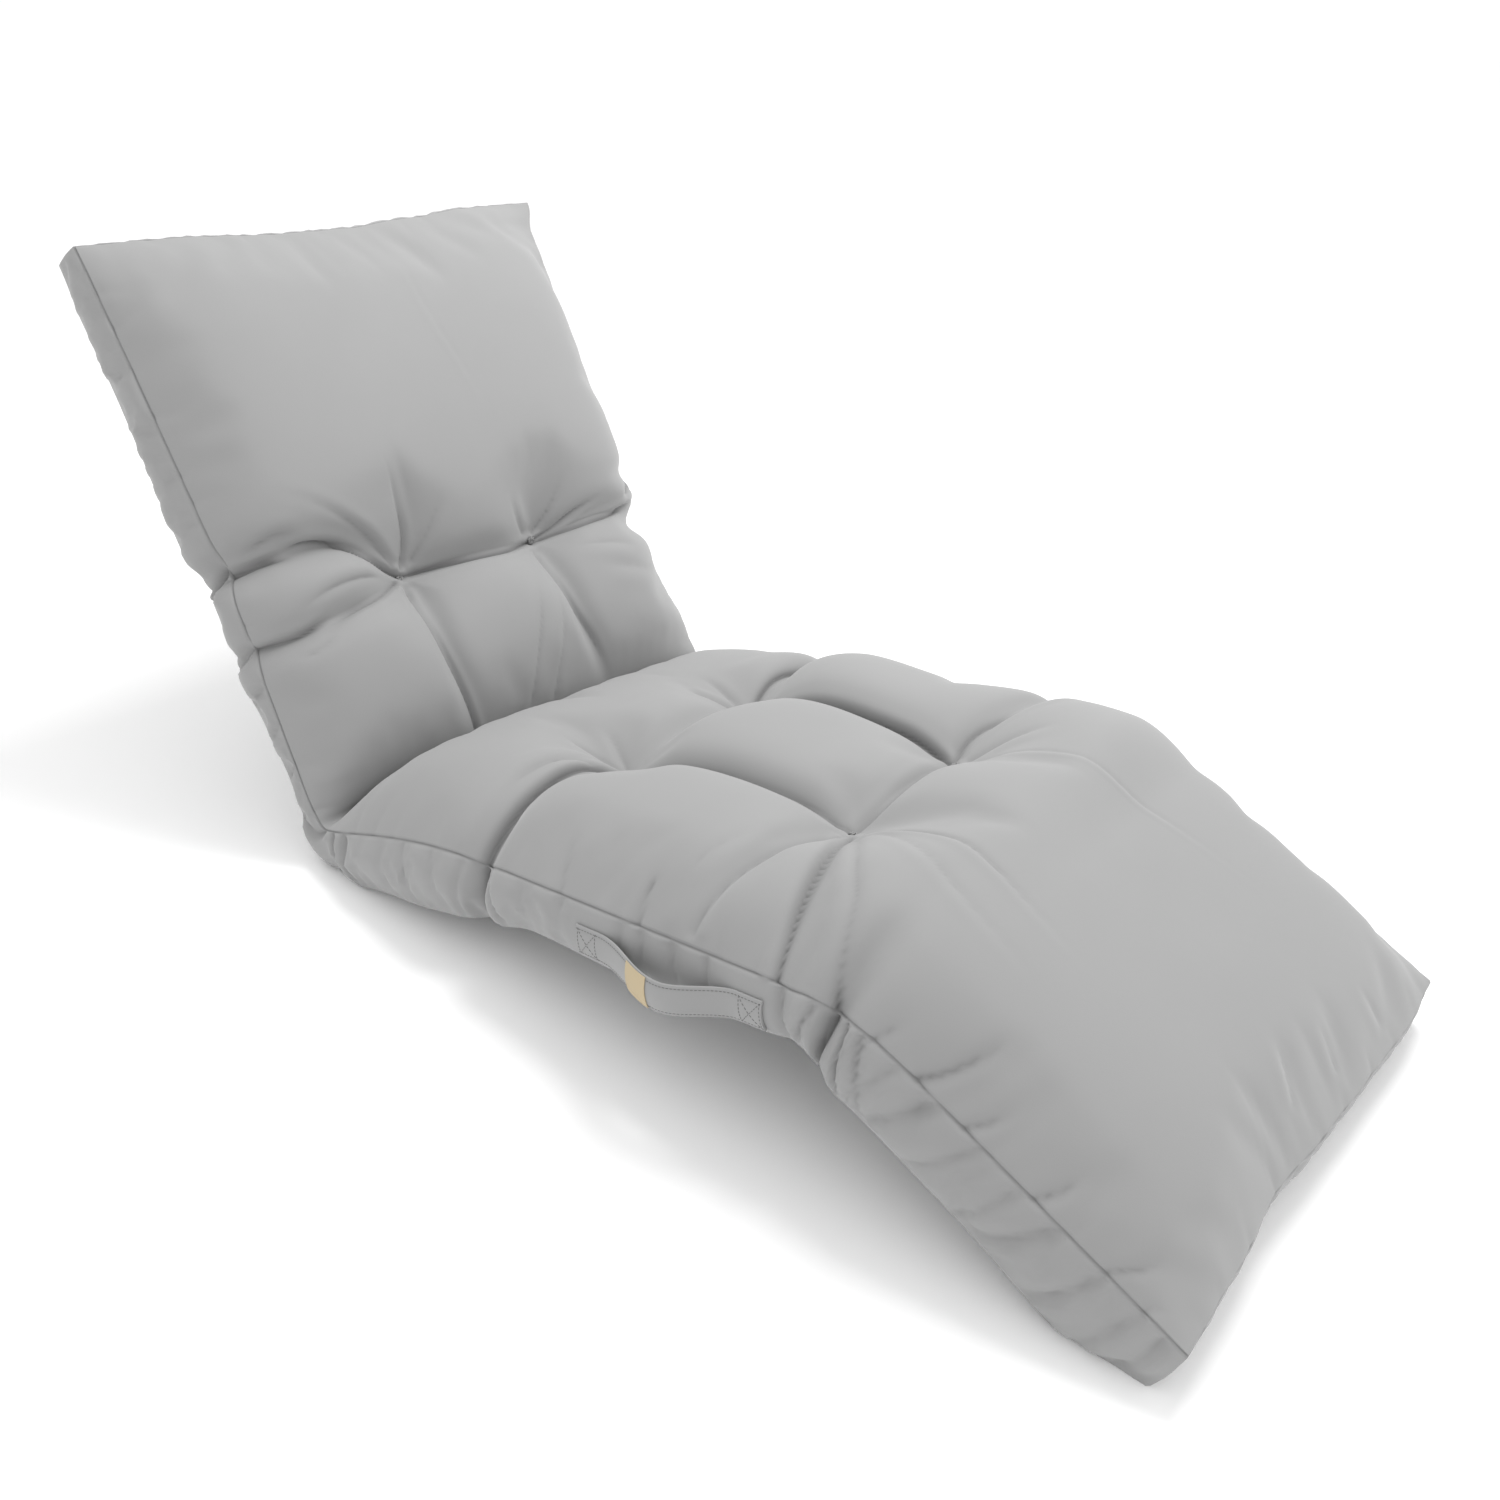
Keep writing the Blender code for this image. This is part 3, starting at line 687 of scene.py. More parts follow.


# creases pressed into the cover after filling, chosen from the cushion
creaseValues = {
    "sharpness": 1.05,
    "reach": 6.0,             # half widths past which a crease leaves the cover alone
    "narrowing": 0.74,
    "meeting": 3.0,           # higher lets the deepest crease win more fully where several meet
    "lipOut": 2.8,            # a crease's raised lip lies this many half widths to one side
    "lipWidth": 1.9,
    "fullShade": 0.0055,      # a trough this deep gets the full crease shade
    "seamShade": 0.68,
    "lines": (
        # points (x, s), depth, half width and lip, all in mm, lip side, fade in share, fade out share
        (((-98, 400), (-45, 401), (0, 404), (50, 406), (98, 404)), 7.0, 3.5, 2.0, 1, 0.0, 0.0),
        (((-100, 399), (-139, 374), (-177, 350), (-215, 340), (-245, 344)), 7.0, 3.5, 2.5, 1, 0.0, 0.35),
        (((-225, 350), (-250, 346), (-275, 347), (-298, 350)), 8.0, 4.5, 2.5, 1, 0.4, 0.0),
        (((-215, 330), (-245, 326), (-275, 334)), 4.0, 5.0, 1.5, 1, 0.4, 0.3),
        (((-104, 404), (-150, 414), (-195, 421), (-240, 432)), 5.0, 3.5, 2.5, -1, 0.05, 0.4),
        (((-215, 418), (-257, 428), (-298, 428)), 6.0, 4.0, 2.0, 1, 0.4, 0.0),
        (((-125, 397), (-170, 392), (-215, 394), (-262, 408)), 3.5, 6.0, 1.5, 1, 0.3, 0.4),
        (((-225, 438), (-250, 448), (-275, 452)), 2.5, 4.0, 1.0, 1, 0.3, 0.4),
        (((98, 404), (130, 396), (165, 384), (215, 372)), 5.0, 4.0, 2.0, 1, 0.0, 0.4),
        (((98, 406), (140, 404), (187, 402), (235, 400), (290, 390)), 6.0, 3.5, 2.0, -1, 0.0, 0.2),
        (((250, 385), (298, 368)), 7.0, 5.0, 2.0, 1, 0.4, 0.0),
        (((130, 425), (190, 435), (240, 452)), 2.0, 6.0, 1.0, 1, 0.4, 0.5),
        (((150, 455), (210, 470), (270, 490)), 2.0, 8.0, 1.0, 1, 0.4, 0.5),
        (((-99, 408), (-106, 440), (-105, 480), (-100, 520), (-90, 575), (-84, 612)),
         4.0, 3.0, 1.5, -1, 0.1, 0.05),
        (((92, 415), (94, 450), (103, 500), (118, 545), (136, 600)), 3.0, 3.0, 1.2, -1, 0.1, 0.3),
        (((62, 440), (35, 490), (12, 540), (-8, 600)), 3.0, 7.0, 1.5, 1, 0.4, 0.1),
        (((82, 450), (65, 510), (45, 560), (30, 605)), 2.5, 6.0, 1.5, 1, 0.4, 0.1),
        (((-98, 396), (-91, 364), (-96, 324), (-103, 270)), 3.5, 3.5, 1.2, 1, 0.05, 0.6),
        (((-104, 390), (-128, 363), (-157, 336), (-205, 302), (-250, 280)), 3.0, 4.0, 1.2, 1, 0.05, 0.6),
        (((-88, 392), (-60, 360), (-40, 330)), 2.5, 5.0, 1.0, 1, 0.1, 0.6),
        (((100, 398), (125, 374), (150, 338)), 3.0, 4.0, 1.2, 1, 0.05, 0.6),
        (((90, 396), (70, 372), (58, 345)), 2.0, 5.0, 1.0, 1, 0.1, 0.6),
        (((45, 30), (41, 124), (53, 202), (67, 278)), 0.8, 2.5, 0.5, 1, 0.3, 0.5),
        (((-100, 878), (-125, 862), (-165, 860), (-205, 862), (-255, 866), (-298, 868)),
         7.0, 4.0, 2.5, 1, 0.05, 0.0),
        (((-112, 866), (-145, 846), (-193, 842), (-250, 848)), 3.5, 6.0, 2.0, 1, 0.2, 0.4),
        (((-190, 884), (-225, 880), (-262, 872)), 3.5, 3.5, 1.5, -1, 0.4, 0.3),
        (((98, 880), (140, 868), (190, 864), (250, 874), (298, 880)), 7.0, 4.5, 2.0, 1, 0.0, 0.0),
        (((75, 812), (85, 830), (97, 868)), 3.0, 4.0, 1.2, -1, 0.4, 0.0),
        (((118, 800), (112, 830), (102, 866)), 2.5, 4.5, 1.0, -1, 0.5, 0.0),
        (((-110, 800), (-104, 832), (-98, 868)), 3.0, 5.0, 1.2, 1, 0.5, 0.0),
        (((-62, 815), (-76, 845), (-92, 872)), 2.5, 5.0, 1.2, 1, 0.5, 0.0),
        (((98, 882), (108, 940), (112, 1010), (106, 1080), (91, 1148)), 8.0, 4.0, 2.0, -1, 0.0, 0.0),
        (((-98, 882), (-90, 940), (-86, 1010), (-86, 1080), (-90, 1150)), 5.0, 4.5, 1.5, 1, 0.0, 0.0),
        (((-90, 1152), (-45, 1158), (0, 1157), (45, 1154), (90, 1150)), 4.0, 5.0, 1.5, -1, 0.0, 0.0),
        (((-97, 1156), (-150, 1174), (-211, 1196), (-259, 1211), (-299, 1222)),
         6.0, 4.5, 2.5, 1, 0.05, 0.0),
        (((-98, 1160), (-150, 1196), (-217, 1240), (-267, 1262), (-299, 1282)), 3.0, 6.0, 2.0, 1, 0.1, 0.1),
        (((-276, 1268), (-299, 1284)), 7.0, 4.0, 2.5, 1, 0.5, 0.0),
        (((-98, 1152), (-169, 1146), (-239, 1136), (-285, 1130), (-299, 1130)),
         3.5, 5.0, 1.5, -1, 0.05, 0.2),
        (((-180, 1116), (-230, 1100), (-275, 1094)), 2.0, 6.0, 1.0, -1, 0.5, 0.4),
        (((-262, 1066), (-299, 1072)), 4.5, 4.0, 1.5, 1, 0.5, 0.0),
        (((-90, 1160), (-99, 1215), (-108, 1262), (-119, 1300), (-132, 1345), (-140, 1406)),
         3.0, 4.0, 1.5, 1, 0.05, 0.6),
        (((-95, 1162), (-118, 1210), (-150, 1262), (-172, 1300), (-186, 1345), (-197, 1395)),
         2.0, 5.0, 1.0, 1, 0.2, 0.6),
        (((91, 1148), (130, 1146), (171, 1158), (219, 1187), (265, 1205)), 5.0, 5.0, 2.0, 1, 0.0, 0.3),
        (((95, 1156), (125, 1191), (155, 1235)), 3.0, 6.0, 1.5, 1, 0.1, 0.5),
        (((82, 1156), (90, 1200), (98, 1260), (109, 1328), (123, 1374), (157, 1494)),
         1.2, 3.0, 0.6, 1, 0.2, 0.5),
        (((-299, 1362), (-287, 1374), (-262, 1386), (-235, 1388)), 4.5, 5.0, 1.5, 1, 0.0, 0.6),
        (((-299, 1318), (-282, 1330)), 3.0, 4.5, 1.0, 1, 0.0, 0.6),
        (((-299, 1412), (-285, 1424), (-262, 1424)), 3.5, 4.5, 1.2, 1, 0.0, 0.6),
        (((-299, 1482), (-287, 1490), (-262, 1496)), 3.5, 4.5, 1.2, 1, 0.0, 0.6),
        (((-299, 1550), (-281, 1566), (-262, 1574)), 3.0, 4.0, 1.0, 1, 0.0, 0.6),
        (((-299, 1585), (-286, 1592)), 2.5, 4.0, 1.0, 1, 0.0, 0.6),
        (((-13, 1534), (-37, 1590)), 2.0, 6.0, 0.8, 1, 0.5, 0.1),
        (((60, 1550), (52, 1600)), 2.0, 6.0, 0.8, 1, 0.5, 0.1),
        (((150, 1560), (160, 1604)), 2.0, 6.0, 0.8, 1, 0.5, 0.1),
        (((-250, 965), (-280, 972), (-299, 980)), 2.5, 6.0, 1.0, 1, 0.6, 0.0),
        (((-235, 1010), (-275, 1012)), 1.5, 8.0, 0.8, 1, 0.5, 0.4),
    ),
    # short puckers where the long and end seams gather the cloth: evenly spread, then shaken
    "puckerSeed": 7,
    "puckerSpacing": 0.044,
    "puckerDepth": 1.5,
    "puckerReach": 0.030,
    "puckerHalfWidth": 5.0,
    "puckerLip": 0.4,         # as a share of the pucker's depth
    "puckerFade": 0.9,
    "endFrom": -0.27,
    "endTo": 0.28,
    "endHalfWidth": 7.0,
    "endDepth": 0.6,          # as a share of the side puckers' depth
}


def gridNormals(points):
    alongRow = np.gradient(points, axis=1)
    alongColumn = np.gradient(points, axis=0)
    normal = np.cross(alongColumn, alongRow)
    return normal / np.maximum(np.linalg.norm(normal, axis=-1, keepdims=True), 1e-12)


def creaseDepth(x, s, points, depth, halfWidth, lip, lipSide, fadeIn, fadeOut):
    line = curveThrough(points)
    margin = creaseValues["reach"] * halfWidth * 0.001
    low, high = line.min(axis=0) - margin, line.max(axis=0) + margin
    near = (x > low[0]) & (x < high[0]) & (s > low[1]) & (s < high[1])
    trough, ridge = np.zeros(x.shape), np.zeros(x.shape)
    if not near.any():
        return trough, ridge
    away, signed, share = nearestOnLine(x[near], s[near], line)
    w = halfWidth * creaseValues["narrowing"] * 0.001
    fade = np.ones(share.shape)
    if fadeIn:
        fade *= smoothStep(share / fadeIn)
    if fadeOut:
        fade *= smoothStep((1.0 - share) / fadeOut)
    ridgeAt = (signed * lipSide / w - creaseValues["lipOut"]) / creaseValues["lipWidth"]
    trough[near] = 0.001 * fade * depth * np.exp(-((away / w) ** creaseValues["sharpness"]))
    ridge[near] = 0.001 * fade * lip * np.exp(-(ridgeAt**2))
    return trough, ridge


def pressCreases(skin):
    x, s = skin["x"], skin["s"]
    v = creaseValues
    troughs, ridges = np.zeros(x.shape), np.zeros(x.shape)

    def addCrease(*row):
        trough, ridge = creaseDepth(x, s, *row)
        troughs[...] += trough ** v["meeting"]
        ridges[...] = np.maximum(ridges, ridge)

    for points, *sizes in v["lines"]:
        addCrease(np.array(points) * 0.001, *sizes)
    rng = np.random.default_rng(v["puckerSeed"])
    length, edge = coverValues["length"], coverValues["halfWidths"][0][1]
    for side in (-1, 1):
        at = v["puckerSpacing"]
        while at < length:
            reach = v["puckerReach"] * rng.uniform(0.5, 1.6)
            lean = rng.uniform(-0.35, 0.45) * reach
            size = v["puckerDepth"] * rng.uniform(0.25, 1.0)
            halfWidth = v["puckerHalfWidth"] * rng.uniform(0.7, 1.5)
            middle = (side * (edge - 0.5 * reach), at + 0.5 * lean)
            points = ((side * edge, at), middle, (side * (edge - reach), at + lean))
            addCrease(points, size, halfWidth, v["puckerLip"] * size, 1, 0.0, v["puckerFade"])
            at += v["puckerSpacing"] * rng.uniform(0.6, 1.5)
    for end in (0.0, length):
        at = v["endFrom"]
        while at < v["endTo"]:
            reach = v["puckerReach"] * rng.uniform(0.5, 1.4)
            size = v["endDepth"] * v["puckerDepth"] * rng.uniform(0.25, 1.0)
            inward = reach if end == 0.0 else -reach
            points = ((at, end), (at + rng.uniform(-0.3, 0.3) * reach, end + inward))
            addCrease(points, size, v["endHalfWidth"], v["puckerLip"] * size, 1, 0.0, v["puckerFade"])
            at += v["puckerSpacing"] * rng.uniform(0.7, 1.7)
    trough = troughs ** (1.0 / v["meeting"])
    depth = ridges - trough
    skin["shadeTop"] = np.clip(trough / v["fullShade"], 0.0, 1.0)
    ring = skin["ring"]
    skin["shadeTop"][ring[:, 1], ring[:, 0]] = v["seamShade"]
    skin["top"] += gridNormals(skin["top"]) * depth[..., None]


borderFoldValues = {
    "folds": (
        # s at the upper seam, s at the lower seam, depth, half width, all in mm
        (60, 70, 1.5, 6.0),
        (120, 138, 2.0, 7.0),
        (180, 190, 1.5, 7.0),
        (235, 252, 2.0, 6.0),
        (285, 302, 2.5, 6.0),
        (338, 372, 8.0, 5.0),
        (352, 352, 4.0, 4.0),
        (425, 445, 4.0, 4.0),
        (462, 485, 3.0, 5.0),
        (505, 525, 3.0, 4.5),
        (548, 565, 2.5, 4.0),
        (628, 606, 5.0, 4.0),
        (642, 652, 6.0, 4.0),
        (662, 668, 6.0, 3.5),
        (725, 740, 2.0, 6.0),
        (762, 778, 3.0, 3.5),
        (805, 832, 2.5, 5.0),
        (848, 842, 3.0, 5.0),
        (867, 880, 9.0, 4.5),
        (884, 908, 5.0, 4.0),
        (930, 950, 2.0, 6.0),
        (985, 990, 2.5, 5.0),
        (1055, 1062, 2.5, 6.0),
        (1078, 1092, 3.0, 5.0),
        (1112, 1130, 3.0, 6.0),
        (1150, 1165, 2.5, 5.0),
        (1226, 1236, 4.0, 4.0),
        (1262, 1243, 5.0, 4.0),
        (1277, 1272, 10.0, 4.5),
        (1290, 1312, 7.0, 4.5),
        (1305, 1348, 5.0, 6.0),
        (1346, 1318, 3.5, 7.0),
        (1386, 1345, 4.5, 8.0),
        (1430, 1392, 4.0, 7.0),
        (1470, 1448, 3.0, 6.0),
        (1508, 1462, 4.5, 8.0),
        (1552, 1520, 3.5, 6.0),
        (1585, 1568, 3.0, 5.0),
        (1606, 1600, 3.0, 4.0),
    ),
    "sharpness": 1.2,
    "lip": 0.35,              # as a share of the fold's depth
    "lipOut": 2.2,
    "fadeLow": 0.2,           # shares of the border's height over which the folds fade at its seams
    "fadeHigh": 0.12,
    "strength": 1.5,
    "rightShift": 0.014,      # the right border repeats the left one's folds, shifted and flatter
    "rightShare": 0.7,
    "fullShade": 0.012,
}


def pressBorder(skin):
    v = borderFoldValues
    ring = skin["ring"]
    ringX, ringS = skin["x"][ring[:, 1], ring[:, 0]], skin["s"][ring[:, 1], ring[:, 0]]
    onSide = np.isclose(np.abs(ringX), seamX(ringX, ringS))
    ringS = np.where(ringX > 0, ringS - v["rightShift"], ringS)
    size = np.where(ringX > 0, v["rightShare"], v["strength"]) * onSide
    strapFrom, strapTo = fillValues["strapHeld"]
    clearOfStrap = np.where((ringX < 0) & (ringS > strapFrom) & (ringS < strapTo), 0.0, 1.0)
    skin["shadeBorder"] = np.zeros(skin["border"].shape[:2])
    for row, up in enumerate(skin["ups"]):
        inwards = np.zeros(ringS.shape)
        for atTop, atLower, depth, halfWidth in np.array(v["folds"]) * 0.001:
            away = (ringS - (atLower + (atTop - atLower) * up)) / halfWidth
            lip = v["lip"] * np.exp(-((away - v["lipOut"]) ** 2)) * clearOfStrap
            inwards = np.maximum(inwards, depth * np.exp(-np.abs(away) ** v["sharpness"])) - depth * lip
        fade = smoothStep(up / v["fadeLow"]) * smoothStep((1.0 - up) / v["fadeHigh"])
        skin["border"][row, :, 0] -= np.sign(ringX) * inwards * size * fade
        skin["shadeBorder"][row] = np.clip(inwards * size * fade / v["fullShade"], 0.0, 1.0)


finishValues = {
    "columns": 164,
    "lines": 440,
    "borderRows": 11,
    "rowCrowding": 1.5,       # above 1 puts the border's rows closer together towards the upper seam
    "seamPullIn": 0.0016,
    "seamPullDown": 0.0012,
    # extra density and spread of the grid's lines, so that they crowd where the cover folds tightly
    "edgeCrowding": (4.0, 0.022),
    "tuftCrowding": (1.4, 0.06),
    "endCrowding": (2.5, 0.008),
    "foldCrowding": (
        # s, extra density, spread
        (0.402, 3.0, 0.020),
        (0.345, 1.6, 0.018),
        (0.428, 1.4, 0.018),
        (coverValues["hipAt"], 2.0, 0.025),
        (0.868, 2.2, 0.022),
        (1.152, 2.2, 0.016),
        (1.220, 1.0, 0.028),
        (1.284, 1.0, 0.016),
    ),
}


def pullSeam(skin):
    # the stitched seam sits in a narrow groove between the top panel and the border
    ring = skin["ring"]
    edge = skin["top"][ring[:, 1], ring[:, 0]]
    inwards = np.stack([rowOffset[0] - edge[:, 0], 0 * edge[:, 0], 0 * edge[:, 0]], -1)
    inwards /= np.maximum(np.abs(inwards[:, :1]), 1e-9)
    slope = np.interp(skin["s"][ring[:, 1], ring[:, 0]], sideProfile[0], sideProfile[3])
    down = -np.stack([0 * slope, np.sin(slope), np.cos(slope)], -1)
    pull = finishValues["seamPullIn"] * inwards + finishValues["seamPullDown"] * down
    skin["top"][ring[:, 1], ring[:, 0]] = edge + pull


def makeCover():
    v = finishValues
    length = coverValues["length"]
    tuftShare = coverValues["tuftRows"][0][1] / coverValues["halfWidths"][0][1]
    places = ((1.0, *v["edgeCrowding"]), (tuftShare, *v["tuftCrowding"]))
    across = [(side * at, extra, spread) for at, extra, spread in places for side in (-1, 1)]
    sharesA = crowdedLines(v["columns"], -1.0, 1.0, across)
    along = [(0.0, *v["endCrowding"]), (length, *v["endCrowding"]), *v["foldCrowding"]]
    linesS = crowdedLines(v["lines"], 0.0, length, along)
    skin = makeSkin(sharesA, linesS, v["borderRows"], v["rowCrowding"])
    cage, moved = fillCover(fillValues)
    addFilling(skin, sharesA, linesS, cage, moved, fillValues)
    pressCreases(skin)
    pressBorder(skin)
    pullSeam(skin)
    points = skinPoints(skin)
    points[:, 2] = np.maximum(points[:, 2], 0.0)
    cover = meshFrom("cushionCover", points, skin["faces"])
    # painted shade for the creases, the border's folds and the seam line, which the cloth material mixes
    # into its colour
    noShade = np.zeros(skin["underX"].size)
    shade = np.concatenate([skin["shadeTop"].ravel(), skin["shadeBorder"].ravel(), noShade])
    cover.data.attributes.new("creaseShade", "FLOAT", "POINT").data.foreach_set("value", shade)
    print("cover made with", sum(len(f) - 2 for f in skin["faces"]), "triangles")
    return cover, skin


cover, coverSkin = makeCover()


clothValues = {
    "colours": ("8e8e8e", "939393"),
    # painted shade: this dark grey is mixed into the cloth's colour in creases, in the border's folds and
    # along the seam
    "creaseShadeColour": "3c3c3c",
    "mottleScale": 9.0,
    "grainScale": 900.0,
    "grainStrength": 0.12,
    "grainHeight": 0.0006,
    "roughness": 0.82,
    "sheen": 0.25,
    "sheenRoughness": 0.5,
    "creaseCurve": 2.0,       # above 1 keeps the shade off shallow creases
    "creaseShare": 0.58,
}


def makeClothMaterial():
    # plain-woven polyester canvas: matt, with a little fuzz that lightens grazing views
    material = bpy.data.materials.new("wovenGreyPolyester")
    material.use_nodes = True
    tree = material.node_tree
    shader = tree.nodes["Principled BSDF"]
    v = clothValues
    place = addNode(tree, "ShaderNodeTexCoord").outputs["Object"]
    patches = {"Scale": v["mottleScale"], "Detail": 4.0}
    mottle = addNode(tree, "ShaderNodeTexNoise", patches, {"Vector": place})
    ramp = addNode(tree, "ShaderNodeValToRGB", links={"Fac": mottle.outputs["Fac"]})
    for stop, colour in zip(ramp.color_ramp.elements, v["colours"]):
        stop.color = hexToLinear(colour)
    # sharp creases hold shade that the mesh is too coarse to cast
    crease = addNode(tree, "ShaderNodeAttribute", {"attribute_name": "creaseShade"})
    power = {"operation": "POWER", 1: v["creaseCurve"]}
    deepen = addNode(tree, "ShaderNodeMath", power, {0: crease.outputs["Fac"]})
    times = {"operation": "MULTIPLY", 1: v["creaseShare"]}
    share = addNode(tree, "ShaderNodeMath", times, {0: deepen.outputs[0]})
    shaded = addNode(
        tree, "ShaderNodeMix", {"data_type": "RGBA", 7: hexToLinear(v["creaseShadeColour"])},
        {0: share.outputs[0], 6: ramp.outputs["Color"]},
    )
    tree.links.new(shaded.outputs[2], shader.inputs["Base Color"])
    weave = {"Scale": v["grainScale"], "Detail": 2.0}
    grain = addNode(tree, "ShaderNodeTexNoise", weave, {"Vector": place})
    relief = {"Strength": v["grainStrength"], "Distance": v["grainHeight"]}
    bump = addNode(tree, "ShaderNodeBump", relief, {"Height": grain.outputs["Fac"]})
    tree.links.new(bump.outputs["Normal"], shader.inputs["Normal"])
    shader.inputs["Roughness"].default_value = v["roughness"]
    shader.inputs["Sheen Weight"].default_value = v["sheen"]
    shader.inputs["Sheen Roughness"].default_value = v["sheenRoughness"]
    return material


clothMaterial = makeClothMaterial()
cover.data.materials.append(clothMaterial)
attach(cover, "root")
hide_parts("cushion")
print("cover dressed")


# carry strap of the cover's cloth, folded flat and sewn to the left border at both ends
strapValues = {
    "start": 1.010,
    "end": 1.216,
    "width": 0.030,
    "thickness": 0.0025,
    "drop": 0.031,            # middle of the strap below the upper seam
    "bow": 0.028,
    "sewn": 0.026,
    "leave": 0.60,
    "comeBack": 0.40,
    "clearance": 0.0003,
    "steps": 120,
    "labelAt": 0.45,
    "labelLength": 0.030,
    "labelInset": 0.0008,
    "labelThickness": 0.0008,
    "stitchIn": 0.0032,       # from the strap's long edges to its two rows of topstitching
    "stitchSink": 0.00035,
    "sinkWidth": 0.0011,
    "turnPoints": 7,          # round each long edge
    "flatPoints": 35,         # across each face
    "sharpDeg": 50.0,
}


def strapOffset(s):
    v = strapValues
    share = (s - v["start"] - v["sewn"]) / (v["end"] - v["start"] - 2.0 * v["sewn"])
    return v["bow"] * smoothStep(share / v["leave"]) * smoothStep((1.0 - share) / v["comeBack"])


def strapPoint(s, across, lift):
    # across runs from the middle of the strap towards its upper edge, lift goes outwards
    v = strapValues

    def on(s, across):
        n = across - v["drop"]
        up = 1.0 + n / borderHeight(s)
        swell = coverValues["sideSwell"] * borderHeight(s) * 4.0 * up * (1.0 - up)
        face = seamX(np.full(np.shape(s), -1.0), s) + swell
        return layOnProfile(-(face + v["clearance"] + strapOffset(s)), s, n)

    step = 0.0005
    along = on(s + step, across) - on(s - step, across)
    upwards = on(s, across + step) - on(s, across - step)
    outward = np.cross(along, upwards)
    outward /= np.linalg.norm(outward, axis=-1, keepdims=True)
    outward *= -np.sign(outward[..., :1])
    return on(s, across) + outward * np.asarray(lift)[..., None]


def makeStrip(name, start, end, width, thickness, lift, sunkRows):
    # a flat strip along the strap's line: its rounded section is carried from one end to the other
    half, radius = width / 2, thickness / 2
    turn = np.linspace(-math.pi / 2, math.pi / 2, strapValues["turnPoints"])
    flat = np.linspace(half - radius, radius - half, strapValues["flatPoints"] + 2)[1:-1]
    edge = half - radius + radius * np.cos(turn)
    across = np.concatenate([edge, flat, -edge, -flat])
    height = np.concatenate([
        radius + radius * np.sin(turn), np.full(flat.size, thickness),
        radius - radius * np.sin(turn), np.zeros(flat.size),
    ])
    for row in sunkRows:
        sunk = strapValues["stitchSink"] * np.exp(-(((across - row) / strapValues["sinkWidth"]) ** 2))
        height = np.where(height > radius, height - sunk, height)
    steps = max(12, int(strapValues["steps"] * (end - start) / (strapValues["end"] - strapValues["start"])))
    lines = np.linspace(start, end, steps + 1)
    s, a = np.meshgrid(lines, across, indexing="ij")
    points = strapPoint(s, a, lift + np.broadcast_to(height, s.shape))
    count = len(across)
    index = np.arange(points.shape[0] * count).reshape(-1, count)
    after = np.roll(index, -1, axis=1)
    faces = np.stack([index[:-1], after[:-1], after[1:], index[1:]], -1).reshape(-1, 4).tolist()
    faces += [index[0].tolist()[::-1], index[-1].tolist()]
    strip = meshFrom(name, points.reshape(-1, 3), faces)
    strip.data.set_sharp_from_angle(angle=math.radians(strapValues["sharpDeg"]))
    return strip


stitchRow = strapValues["width"] / 2 - strapValues["stitchIn"]
strapSize = (strapValues["start"], strapValues["end"], strapValues["width"], strapValues["thickness"])
strap = makeStrip("carryStrap", *strapSize, 0.0, (-stitchRow, stitchRow))
strap.data.materials.append(clothMaterial)
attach(strap, "root")
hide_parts("carry_handle")
print("carry strap made")


labelValues = {
    "colours": ("b5a586", "c0b092"),
    "ribScale": 330.0,
    "ribStrength": 0.25,
    "ribHeight": 0.0003,
    "roughness": 0.85,
}


def makeLabelMaterial():
    # woven beige tape: matt, with fine ribs that catch the light across the strap
    material = bpy.data.materials.new("wovenBeigeTape")
    material.use_nodes = True
    tree = material.node_tree
    shader = tree.nodes["Principled BSDF"]
    v = labelValues
    place = addNode(tree, "ShaderNodeTexCoord").outputs["Object"]
    ribs = addNode(
        tree, "ShaderNodeTexWave", {"bands_direction": "Y", "Scale": v["ribScale"], "Distortion": 0.4},
        {"Vector": place},
    )
    ramp = addNode(tree, "ShaderNodeValToRGB", links={"Fac": ribs.outputs["Fac"]})
    for stop, colour in zip(ramp.color_ramp.elements, v["colours"]):
        stop.color = hexToLinear(colour)
    tree.links.new(ramp.outputs["Color"], shader.inputs["Base Color"])
    relief = {"Strength": v["ribStrength"], "Distance": v["ribHeight"]}
    bump = addNode(tree, "ShaderNodeBump", relief, {"Height": ribs.outputs["Fac"]})
    tree.links.new(bump.outputs["Normal"], shader.inputs["Normal"])
    shader.inputs["Roughness"].default_value = v["roughness"]
    return material


def makeLabel():
    v = strapValues
    middle = v["start"] + v["labelAt"] * (v["end"] - v["start"])
    label = makeStrip(
        "bareLabel", middle - v["labelLength"] / 2, middle + v["labelLength"] / 2,
        v["width"] - 2 * v["labelInset"], v["labelThickness"], v["thickness"] + v["clearance"], (),
    )
    label.data.materials.append(makeLabelMaterial())
    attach(label, "root")
    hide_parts("handle_label")


makeLabel()
print("label made")


# thread: topstitching on the strap, and the knots that tie the tufts
threadValues = {
    "pitch": 0.0034,
    "stitchLength": 0.0026,
    "stitchThickness": 0.0007,
    "stitchLift": 0.0001,
    "boxIn": 0.0035,          # from the sewn part's ends to the cross rows of its box
    "knotRing": 0.0026,
    "knotTube": 0.0013,
    "strandRadius": 0.0009,
    "strandSteps": 120,
    "knotLift": 0.0032,
    "knotTurns": 3.0,         # times that the strand goes round
    "knotLobes": 5.0,         # times that it crosses from outside to inside
    "strandSides": 8,
    "guideStep": 0.0015,
    "rowIn": 0.002,           # from the strap's ends to its long rows of topstitching
    "roughness": 0.6,
}


def makeThreadMaterial(name, colour):
    # twisted polyester thread, with a slight gloss
    material = bpy.data.materials.new(name)
    material.use_nodes = True
    shader = material.node_tree.nodes["Principled BSDF"]
    shader.inputs["Base Color"].default_value = hexToLinear(colour)
    shader.inputs["Roughness"].default_value = threadValues["roughness"]
    return material
